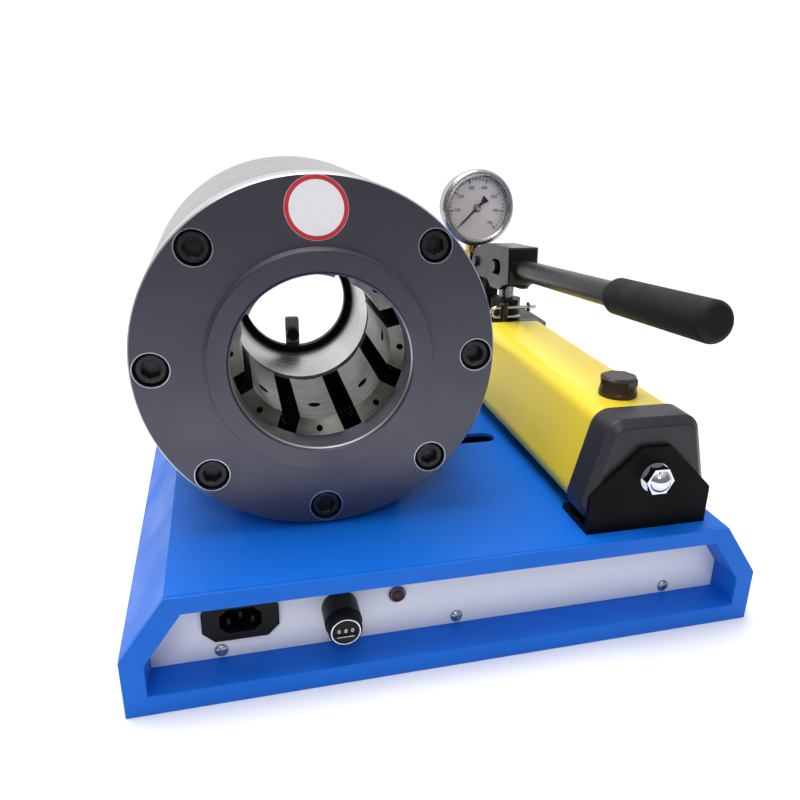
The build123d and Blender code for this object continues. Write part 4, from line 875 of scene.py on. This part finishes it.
def follow(shape: Shape, path: Sequence[Vector], radius: float,
           sides: int = 8) -> None:
    """Adds a round wire along a path to a shape.

    Args:
        shape: The shape that gets it.
        path: The points of its middle line, in metres.
        radius: The wire's radius, in mm.
        sides: Facets round the wire.
    """
    loops = []
    normal = Vector((0.0, 0.0, 1.0))
    arms = [polar(1.0, math.tau * k / sides) for k in range(sides)]
    for index, here in enumerate(path):
        ahead = path[min(index + 1, len(path) - 1)] - path[max(index - 1, 0)]
        ahead.normalize()
        side = normal - ahead * normal.dot(ahead)
        if side.length < 1e-3:
            side = ahead.orthogonal()
        side.normalize()
        other = ahead.cross(side)
        normal = side
        loops.append([shape.verts.new(here + (side * x + other * y) * radius * MM)
                      for x, y in arms])
    for first, second in zip(loops, loops[1:]):
        wall(shape, first, second)
    shape.faces.new(list(reversed(loops[0])))
    shape.faces.new(loops[-1])


def carve(piece: Piece, tool: Shape) -> None:
    """Cuts a tool's shape out of a piece.

    Args:
        piece: The piece to cut.
        tool: The shape to take out, which is freed.
    """
    bmesh.ops.recalc_face_normals(tool, faces=tool.faces)
    cutter = put("cutter", as_mesh("cutter", tool))
    cut = piece.modifiers.new("cut", "BOOLEAN")
    cut.object = cutter
    cut.solver = "EXACT"
    cut.use_self = True
    settle(piece)
    bpy.data.objects.remove(cutter)
    shade(piece.data, SMOOTH_ANGLE)


def dress(*pairs: tuple[Finish, str]) -> None:
    """Gives CAD nodes their finishes.

    Args:
        *pairs: Each a finish and the names of the nodes that get it, with spaces between.
    """
    for finish, names in pairs:
        for name in names.split():
            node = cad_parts[name]
            if not node.material_slots:
                node.data.materials.append(finish.material())
            for held in node.material_slots:
                held.material = finish.material()
            LOG.info("node %s has %s", name, finish.name)


def soften(name: str, width: float, finish: Finish, body: Body = Body.BASE,
           segments: int = 2) -> Piece:
    """Stands a copy with rounded edges in for a CAD node, as paint and use round them.

    Args:
        name: The CAD node's name.
        width: How wide the rounding is, in mm.
        finish: The copy's finish.
        body: The body that carries it.
        segments: Facets across the rounding.

    Returns:
        The new piece.
    """
    shape = bmesh.new()
    shape.from_mesh(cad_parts[name].data)
    bmesh.ops.remove_doubles(shape, verts=shape.verts, dist=WELD)
    bmesh.ops.dissolve_limit(shape, angle_limit=math.radians(FLAT_ANGLE),
                             verts=shape.verts, edges=shape.edges)
    piece = as_piece(f"{name}_rounded", shape, finish, body)
    edge = piece.modifiers.new("edge", "BEVEL")
    edge.width = width * MM
    edge.segments = segments
    edge.limit_method = "ANGLE"
    edge.angle_limit = math.radians(BEVEL_ANGLE)
    edge.use_clamp_overlap = True
    edge.harden_normals = True
    settle(piece)
    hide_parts(name)
    return piece


@dataclass
class BaseCabinet:
    """The folded base: its wrap, the rims at both ends, the panels and their screws."""

    screw_xs: tuple[float, ...] = (-151.0, -2.6, 151.0)
    screw_z: float = 18.3
    front_panel: float = 26.2
    rear_panel: float = 373.8
    head_radius: float = 4.1
    head_height: float = 2.6
    shank_radius: float = 1.95
    recess_arm: float = 2.2
    recess_width: float = 0.9
    recess_floor: float = 1.15
    recess_top: float = 4.0
    shank_length: float = 6.5
    fold: float = 1.1
    rim_fold: float = 0.7

    def screws(self) -> None:
        """Makes the pan-head screws with a cross recess in each."""
        shape, tool = bmesh.new(), bmesh.new()
        shank, head = self.shank_radius, self.head_radius
        profile = [(0.0, -self.shank_length), (shank, -self.shank_length), (shank, 0.0),
                   (head, 0.0), (head, 0.9), (head - 0.35, 1.6), (head - 1.1, 2.15),
                   (2.0, 2.45), (0.0, self.head_height)]
        for depth, way in ((self.front_panel, Way.FRONT), (self.rear_panel, Way.BACK)):
            for index, x in enumerate(self.screw_xs):
                centre = spot(x, depth, self.screw_z)
                turn_on_lathe(shape, profile, centre, way, 32)
                # No two screws stopped at the same angle.
                lean = math.radians(17 + 31 * index)
                for quarter in (0.0, math.pi / 2):
                    self.arm(tool, centre, way, lean + quarter)
        piece = as_piece("cross_recess_screws", shape, ZINC)
        carve(piece, tool)
        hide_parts("panel_screws")

    def arm(self, tool: Shape, centre: Vector, way: Way, lean: float) -> None:
        """Adds one bar of a cross recess to the cutting tool.

        Args:
            tool: The tool's shape.
            centre: The screw's seat, in metres.
            way: The way that the screw faces.
            lean: How far the bar is turned, in radians.
        """
        turned = [(x * math.cos(lean) - y * math.sin(lean),
                   x * math.sin(lean) + y * math.cos(lean))
                  for x, y in rectangle(2 * self.recess_arm, self.recess_width)]
        raise_outline(tool, turned, centre, way, self.recess_floor, self.recess_top)

    def build(self) -> None:
        """Dresses the base and makes its screws."""
        soften("base_shell", self.fold, BASE_BLUE)
        for name in ("front_bezel", "rear_bezel"):
            soften(name, self.rim_fold, BASE_BLUE)
        dress((PANEL_WHITE, "front_panel rear_panel"))
        self.screws()


@dataclass
class PanelFittings:
    """The mains inlet, the turns-counting dial and the pilot lamp on the front panel."""

    counter_x: float = -79.0
    counter_z: float = 37.5
    counter_front: float = 0.2
    ring_back: float = 8.8
    ring_front: float = 1.2
    ring_radius: float = 10.2
    bore: float = 9.05
    face_radius: float = 8.9
    flutes: int = 60
    flute_depth: float = 0.03
    wheel_size: Span = (3.6, 4.2)
    wheel_gap: float = 0.45
    datum_size: Span = (10.4, 0.32)
    datum_drop: float = 3.6
    figures: str = "080"
    figure_height: float = 2.7
    lamp_x: float = -42.5
    lamp_z: float = 41.3
    lamp_in: float = 26.2
    lens_radius: float = 4.3
    lens_front: float = 2.7

    def counter(self) -> None:
        """Makes the knurled ring, the bright face ring, the number wheels and the mark."""
        axis = spot(self.counter_x, 0, self.counter_z)
        shape = bmesh.new()
        tall = self.ring_back - self.ring_front
        steps = self.flutes * 4
        profile = [(self.bore, 0.0), (self.ring_radius, 0.0), (self.ring_radius, tall - 0.5),
                   (self.ring_radius - 0.5, tall), (self.bore, tall)]
        turn_on_lathe(shape, profile, spot(self.counter_x, self.ring_back, self.counter_z),
                      Way.FRONT, steps, closed=True)
        for vert in shape.verts:
            arm = Vector((vert.co.x - axis.x, 0, vert.co.z - axis.z))
            back = (vert.co.y - spot(0, 0, 0).y) / MM
            if arm.length > (self.ring_radius - 0.1) * MM and back > self.ring_front + 0.4:
                turn = math.atan2(arm.z, arm.x) * self.flutes
                arm *= -self.flute_depth * max(0.0, math.cos(turn))
                vert.co.x += arm.x
                vert.co.z += arm.z
        ring = as_piece("counter_knurled_ring", shape, FITTING_BLACK, Body.COUNTER, 50)
        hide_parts("counter_ring")
        shape = bmesh.new()
        turn_on_lathe(shape, [(self.face_radius, 0.9), (self.face_radius, 0.15),
                              (self.face_radius - 0.25, 0.0), (self.face_radius - 0.7, 0.0),
                              (self.face_radius - 0.75, 0.9)],
                      axis + Vector((0, (self.counter_front - 0.3) * MM, 0)), Way.BACK, 64,
                      closed=True)
        as_piece("counter_face_ring", shape, CHROME)
        wheels, digits = bmesh.new(), bmesh.new()
        wide, tall = self.wheel_size
        for index, figure in enumerate(self.figures):
            x = self.counter_x + (index - 1) * (wide + self.wheel_gap)
            centre = spot(x, self.counter_front + 0.75, self.counter_z + 0.2)
            raise_outline(wheels, rectangle(wide, tall), centre, Way.FRONT, 0.0, 0.35)
            set_type(digits, figure, centre + Vector((0, -0.38 * MM, 0)), Way.FRONT,
                     self.figure_height)
        as_piece("counter_wheels", wheels, FITTING_BLACK)
        as_piece("counter_figures", digits, FILM_WHITE)
        mark = bmesh.new()
        raise_outline(mark, rectangle(*self.datum_size),
                      spot(self.counter_x, self.counter_front, self.counter_z - self.datum_drop),
                      Way.FRONT, -0.1, 0.05)
        as_piece("counter_datum_line", mark, FILM_WHITE)

    def lens(self) -> None:
        """Makes the lamp's domed lens, whose lip covers the inner edge of the bezel."""
        seat = spot(self.lamp_x, self.lamp_in, self.lamp_z)
        shape = bmesh.new()
        radius, front = self.lens_radius, self.lens_front
        turn_on_lathe(shape, [(0.0, -5.0), (3.1, -5.0), (3.1, front - 0.25), (radius, front - 0.25),
                              (radius, front), (radius * 0.8, front + 0.45),
                              (radius * 0.45, front + 0.72), (0.0, front + 0.8)],
                      seat, Way.FRONT, 48)
        dome = as_piece("lamp_lens_dome", shape, LENS_RED, angle=50)
        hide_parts("lamp_lens")

    def build(self) -> None:
        """Dresses the panel fittings and makes the counter's details."""
        dress((FITTING_BLACK, "inlet_socket counter_housing inlet_pins power_module"),
              (LAMP_METAL, "lamp_bezel"))
        self.lens()
        self.counter()


@dataclass
class CrimpingHead:
    """The head: flange with its screws, barrel, dies, springs, piston and hose stop."""

    x: float = HEAD_X
    z: float = HEAD_Z
    flange_front: float = 61.9
    screw_circle: float = 95.6
    screw_angles: tuple[float, ...] = (0, 45, 135, 180, 225, 270, 315)
    screw_radius: float = 9.0
    screw_height: float = 12.0
    shank_radius: float = 6.0
    shank_length: float = 38.0
    socket_radius: float = 5.77
    socket_depth: float = 6.0
    seat: float = 75.4
    bore_radius: float = 10.0
    lip: float = 0.5
    film: float = 0.05
    die_count: int = 8
    die_stroke: float = 14.0
    first_die: float = 270.0
    spring_radius: float = 52.0
    spring_depth: float = 127.25
    coil_radius: float = 3.9
    wire: float = 0.8
    coil_turns: float = 7.5
    coil_steps: int = 16
    closed_gap: float = 1.6
    pockets: float = 16.0
    play: float = 0.6
    sticker: Span = (-82.3, 274.4)
    sticker_radius: float = 17.85
    sticker_ring: float = 2.6

    def spots(self) -> list[Vector]:
        """Lists the screws' places on the flange's face, in metres."""
        arms = [polar(self.screw_circle, math.radians(angle)) for angle in self.screw_angles]
        return [spot(self.x + x, self.seat, self.z + z) for x, z in arms]

    def screws(self) -> None:
        """Makes the socket cap screws and the bright edges of their counterbores."""
        shape, tool, rims = bmesh.new(), bmesh.new(), bmesh.new()
        radius, tall = self.screw_radius, self.screw_height
        shank, end = self.shank_radius, -self.shank_length
        profile = [(0.0, end), (shank - 0.6, end), (shank, end + 0.6), (shank, -0.6),
                   (shank + 0.3, 0.0), (radius, 0.0), (radius, tall - 1.2),
                   (radius - 0.35, tall - 0.5), (radius - 1.1, tall), (0.0, tall)]
        for index, place in enumerate(self.spots()):
            turn_on_lathe(shape, profile, place, Way.FRONT, 48)
            # No two screws stopped at the same angle.
            lean = math.radians(11 + 23 * index)
            hexagon = [polar(self.socket_radius, lean + k * math.pi / 3) for k in range(6)]
            raise_outline(tool, hexagon, place, Way.FRONT, tall - self.socket_depth, tall + 2.0)
            turn_on_lathe(tool, [(0.0, tall - 0.45), (5.35, tall - 0.45), (6.2, tall + 0.5),
                                 (0.0, tall + 0.5)], place, Way.FRONT, 48)
            face = place + Vector((0, (self.flange_front - self.seat) * MM, 0))
            inner, outer = self.bore_radius - self.film, self.bore_radius + self.lip
            turn_on_lathe(rims, [(inner, -2 * self.lip), (self.bore_radius, self.film),
                                 (outer, self.film), (outer, -self.film)],
                          face, Way.FRONT, 64, closed=True)
        piece = as_piece("flange_cap_screws", shape, SCREW_BLACK)
        carve(piece, tool)
        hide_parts("flange_screws")
        as_piece("counterbore_edges", rims, ZINC)

    def springs(self) -> None:
        """Makes the coil springs between the dies, each riding on one die."""
        half = math.pi / self.die_count
        reach = self.spring_radius + self.die_stroke * math.cos(half)
        spread = self.die_stroke * math.sin(half)
        length = self.closed_gap + 2 * spread + self.pockets - self.play
        for index in range(self.die_count):
            turn = math.radians(self.first_die) + (index + 0.5) * 2 * half
            out = Vector((math.cos(turn), 0, math.sin(turn)))
            along = Vector((-math.sin(turn), 0, math.cos(turn)))
            middle = spot(self.x, self.spring_depth, self.z) + out * reach * MM
            path = []
            for step in range(int(self.coil_turns * self.coil_steps) + 1):
                share = step / (self.coil_turns * self.coil_steps)
                swing = math.tau * self.coil_turns * share
                path.append(middle + along * (share - 0.5) * (length - 2 * self.wire) * MM
                            + (out * math.cos(swing) + Vector((0, math.sin(swing), 0)))
                            * self.coil_radius * MM)
            shape = bmesh.new()
            follow(shape, path, self.wire, 6)
            body = Body[f"DIE_{index + 1}"]
            piece = as_piece(f"die_spring_{index + 1}", shape, SPRING_STEEL, body)
            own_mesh(piece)
            if index == 0:
                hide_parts("die_springs")

    def sticker_disc(self) -> None:
        """Makes the plain round film on the flange: white with a red ring."""
        x, z = self.sticker
        face, radius = spot(x, self.flange_front, z), self.sticker_radius
        shape = bmesh.new()
        turn_on_lathe(shape, [(0.0, 0.0), (radius, 0.0), (radius, 0.08), (0.0, 0.08)], face,
                      Way.FRONT, 96)
        as_piece("round_film_white", shape, FILM_WHITE)
        shape = bmesh.new()
        inner, outer = radius - self.sticker_ring, radius - 0.15
        turn_on_lathe(shape, [(inner, 0.06), (outer, 0.06), (outer, 0.14), (inner, 0.14)],
                      face, Way.FRONT, 96, closed=True)
        as_piece("round_film_red_ring", shape, INK_RED)

    def build(self) -> None:
        """Dresses the head and makes its screws, springs and film."""
        dies = " ".join(f"die_{n + 1}" for n in range(self.die_count))
        dress((FLANGE_DARK, "front_flange"), (BARREL_STEEL, "head_barrel"), (DIE_STEEL, dies),
              (PISTON_STEEL, "piston hose_stop"), (SEAL_BLACK, "piston_seal"),
              (FITTING_BLACK, "end_ring limit_switch"),
              (SCREW_BLACK, "head_saddle stop_screws saddle_bolts"))
        self.screws()
        self.springs()
        self.sticker_disc()


@dataclass
class HandPump:
    """The pump: tank, end cap, foot, block, plunger, lever, handle and release valve."""

    filler: Point = (122.5, 71.0, 149.0)
    filler_sides: int = 8
    grip_taper: float = 8.0
    mouth_depth: float = 3.0
    mouth_rim: float = 0.5
    tube_radius: float = 9.6

    def filler_top(self) -> None:
        """Makes the filler cap: a skirt with a waist and a faceted disc to turn it by."""
        seat = spot(*self.filler)
        shape = bmesh.new()
        turn_on_lathe(shape, [(0.0, 0.05), (13.3, 0.05), (13.4, 2.6), (12.9, 3.4), (12.5, 6.8),
                              (12.0, 9.0), (0.0, 9.0)], seat, Way.UP, 64)
        turn_on_lathe(shape, [(0.0, 7.6), (12.7, 7.6), (13.3, 8.4), (13.4, 12.0), (12.2, 13.5),
                              (11.4, 13.9), (0.0, 13.9)], seat, Way.UP, self.filler_sides)
        cap = as_piece("filler_cap_faceted", shape, FILLER_BROWN, Body.FILLER, 28)
        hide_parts("filler_cap")

    def grip(self) -> None:
        """Stands in for the grip with one whose mouth tapers down to the tube."""
        shape = bmesh.new()
        shape.from_mesh(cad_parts["handle_grip"].data)
        grip_mid = sum((v.co for v in shape.verts), Vector()) / len(shape.verts)
        tube = [v.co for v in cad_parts["handle_tube"].data.vertices]
        axis = (grip_mid - sum(tube, Vector()) / len(tube)).normalized()
        start = min((v.co - grip_mid).dot(axis) for v in shape.verts)
        for vert in shape.verts:
            run = (vert.co - grip_mid).dot(axis)
            arm = vert.co - grip_mid - axis * run
            if arm.length < self.tube_radius * MM or run > start + self.mouth_depth * MM:
                continue
            if run < start + self.mouth_rim * MM:
                vert.co = grip_mid + axis * run + arm.normalized() * self.tube_radius * MM
            else:
                vert.co += axis * (start + self.grip_taper * MM - run)
        piece = as_piece("handle_grip_tapered", shape, GRIP_BLACK, Body.HANDLE, 20)
        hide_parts("handle_grip")

    def build(self) -> None:
        """Dresses the pump."""
        soften("tank_end_cap", 1.2, CAP_BLACK, segments=3)
        soften("front_foot", 0.4, FOOT_BLACK)
        self.filler_top()
        soften("pump_block", 1.5, PUMP_BLACK)
        soften("gland_nut", 0.6, PUMP_BLACK)
        soften("lever_head", 1.0, HANDLE_BLACK, Body.HANDLE)
        self.grip()
        dress((TANK_YELLOW, "tank"), (ZINC, "tie_rod suction_strainer port_fittings"),
              (CHROME, "domed_nut release_bar"), (BARREL_STEEL, "plunger"),
              (SCREW_BLACK, "pump_bolts plunger_pin fulcrum_pin release_stem"),
              (HANDLE_BLACK, "handle_tube hydraulic_pipe"))


@dataclass
class PressureGauge:
    """The gauge: case, bezel, glass, printed dial, needle and its hexagon adapter."""

    x: float = 112.0
    z: float = 242.5
    dial_front: float = 369.0
    hub_front: float = 367.8
    scale_radius: float = 28.6
    start: float = 225.0
    sweep: float = 270.0
    majors: int = 7
    minors_each: int = 5
    major_mark: Span = (4.2, 0.42)
    minor_mark: Span = (2.4, 0.2)
    number_inset: float = 8.2
    number_height: float = 3.0
    step_value: int = 100

    def dial_print(self) -> None:
        """Prints the dial: the scale's marks and plain numbers."""
        centre = spot(self.x, self.dial_front, self.z)
        marks, numbers = bmesh.new(), bmesh.new()
        count = self.majors * self.minors_each
        for index in range(count + 1):
            angle = math.radians(self.start - self.sweep * index / count)
            major = index % self.minors_each == 0
            long, wide = self.major_mark if major else self.minor_mark
            out = polar(1.0, angle)
            outer, inner = self.scale_radius, self.scale_radius - long
            corners = [(out[0] * run - out[1] * half, out[1] * run + out[0] * half)
                       for run, half in ((inner, -wide), (outer, -wide), (outer, wide),
                                         (inner, wide))]
            raise_outline(marks, corners, centre, Way.FRONT, 0.0, 0.06)
            if major:
                value = index // self.minors_each * self.step_value
                reach = self.scale_radius - self.number_inset
                place = centre + Vector((out[0], 0, out[1])) * reach * MM
                set_type(numbers, str(value), place + Vector((0, -0.05 * MM, 0)),
                         Way.FRONT, self.number_height)
        as_piece("dial_scale_marks", marks, INK_BLACK)
        as_piece("dial_numbers", numbers, INK_GREY)

    def hub(self) -> None:
        """Makes the bright cap on the needle's hub."""
        shape = bmesh.new()
        turn_on_lathe(shape, [(0.0, 0.0), (2.6, 0.0), (2.6, 0.25), (2.2, 0.45), (0.0, 0.5)],
                      spot(self.x, self.hub_front, self.z), Way.FRONT, 32)
        as_piece("needle_hub_cap", shape, ZINC, Body.NEEDLE)

    def build(self) -> None:
        """Dresses the gauge and prints its dial."""
        soften("gauge_case", 0.6, GAUGE_STEEL)
        soften("gauge_bezel", 0.8, GAUGE_STEEL, segments=3)
        dress((GLASS, "gauge_glass"), (DIAL_WHITE, "gauge_dial"), (INK_BLACK, "gauge_needle"))
        self.hub()
        soften("gauge_adapter", 0.4, BRASS)
        self.dial_print()


@dataclass
class Studio:
    """The pale floor, the soft lights and the camera at the photograph's viewpoint."""

    eye: Point = (-0.13196, -0.56973, 0.32058)
    right: Point = (0.96024, -0.27694, 0.03519)
    down: Point = (-0.06853, -0.35604, -0.93195)
    ahead: Point = (0.27063, 0.89249, -0.36087)
    lens: float = 33.94
    shift: Span = (-0.0625, 0.01875)
    room: Point = (0.24, 1.08, 0.9)
    horizon: Span = (-0.2, 0.5)
    ceiling: Span = (0.35, 0.95)
    floor_half: float = 0.95
    lamps: dict[str, tuple[Point, Point, float, float]] = field(default_factory=lambda: {
        "key_softbox": ((-0.25, 0.1, 1.75), (0.0, 0.0, 0.1), 1.1, 25.0),
        "fill_softbox": ((-0.25, -1.35, 1.2), (0.0, 0.0, 0.1), 0.45, 6.0),
        "back_softbox": ((-0.9, 1.2, 1.0), (0.0, 0.0, 0.2), 0.8, 1.0),
    })

    def camera(self) -> None:
        """Sets the camera where the photograph was taken from."""
        data = bpy.data.cameras.new("photo_camera")
        data.lens = self.lens
        data.sensor_width = 36.0
        data.sensor_fit = "HORIZONTAL"
        data.shift_x, data.shift_y = self.shift
        data.clip_start = 0.01
        camera = put("photo_camera", data)
        turn = Matrix((Vector(self.right), -Vector(self.down), -Vector(self.ahead))).transposed()
        camera.matrix_world = Matrix.Translation(self.eye) @ turn.to_4x4()
        bpy.context.scene.camera = camera

    def lights(self) -> None:
        """Hangs the soft boxes and sets the pale room round them."""
        for name, (place, target, size, power) in self.lamps.items():
            data = bpy.data.lights.new(name, "AREA")
            data.shape = "SQUARE"
            data.size = size
            data.energy = power
            lamp = put(name, data)
            aim = (Vector(target) - Vector(place)).to_track_quat("-Z", "Y")
            lamp.matrix_world = Matrix.Translation(place) @ aim.to_matrix().to_4x4()
        world = bpy.data.worlds.new("pale_room")
        bpy.context.scene.world = world
        world.use_nodes = True
        tree = world.node_tree
        tree.nodes.clear()
        place = add_node(tree, "ShaderNodeTexCoord").outputs["Generated"]
        part = add_node(tree, "ShaderNodeSeparateXYZ", inputs={0: place})
        # The room is brightest behind the machine and darkest on the operator's side.
        near, far, above = self.room
        behind = add_node(tree, "ShaderNodeMapRange", {"interpolation_type": "SMOOTHSTEP"}, {
            "Value": part.outputs[1], "From Min": self.horizon[0], "From Max": self.horizon[1],
            "To Min": near, "To Max": far})
        rise = add_node(tree, "ShaderNodeMapRange", {"interpolation_type": "SMOOTHSTEP"}, {
            "Value": part.outputs[2], "From Min": self.ceiling[0], "From Max": self.ceiling[1]})
        strength = add_node(tree, "ShaderNodeMix", {"data_type": "FLOAT"}, {
            0: rise.outputs[0], 2: behind.outputs[0], 3: above})
        glow = add_node(tree, "ShaderNodeBackground", inputs={
            "Color": linear("#fcfcff"), "Strength": strength.outputs[0]})
        add_node(tree, "ShaderNodeOutputWorld", inputs={"Surface": glow.outputs[0]})

    def floor(self) -> None:
        """Lays the pale floor."""
        shape = bmesh.new()
        bmesh.ops.create_grid(shape, x_segments=2, y_segments=2, size=self.floor_half)
        mesh = as_mesh("studio_floor", shape)
        finish = PrintInk("pale_floor", "floor", "#fbfbfb", "#f8f8f9", 0.7)
        mesh.materials.append(finish.material())
        floor = put("studio_floor", mesh)

    def build(self) -> None:
        """Sets up the floor, lights and camera, with plain colour handling."""
        self.floor()
        self.lights()
        self.camera()
        bpy.context.scene.view_settings.view_transform = "Standard"


def main() -> None:
    """Dresses the machine part by part and sets up the studio."""
    logging.basicConfig(level=logging.INFO, format="%(name)s: %(message)s")
    for part in (BaseCabinet(), PanelFittings(), CrimpingHead(), HandPump(), PressureGauge(),
                 Studio()):
        LOG.info("building %s", type(part).__name__)
        part.build()


if __name__ == "__main__":
    main()
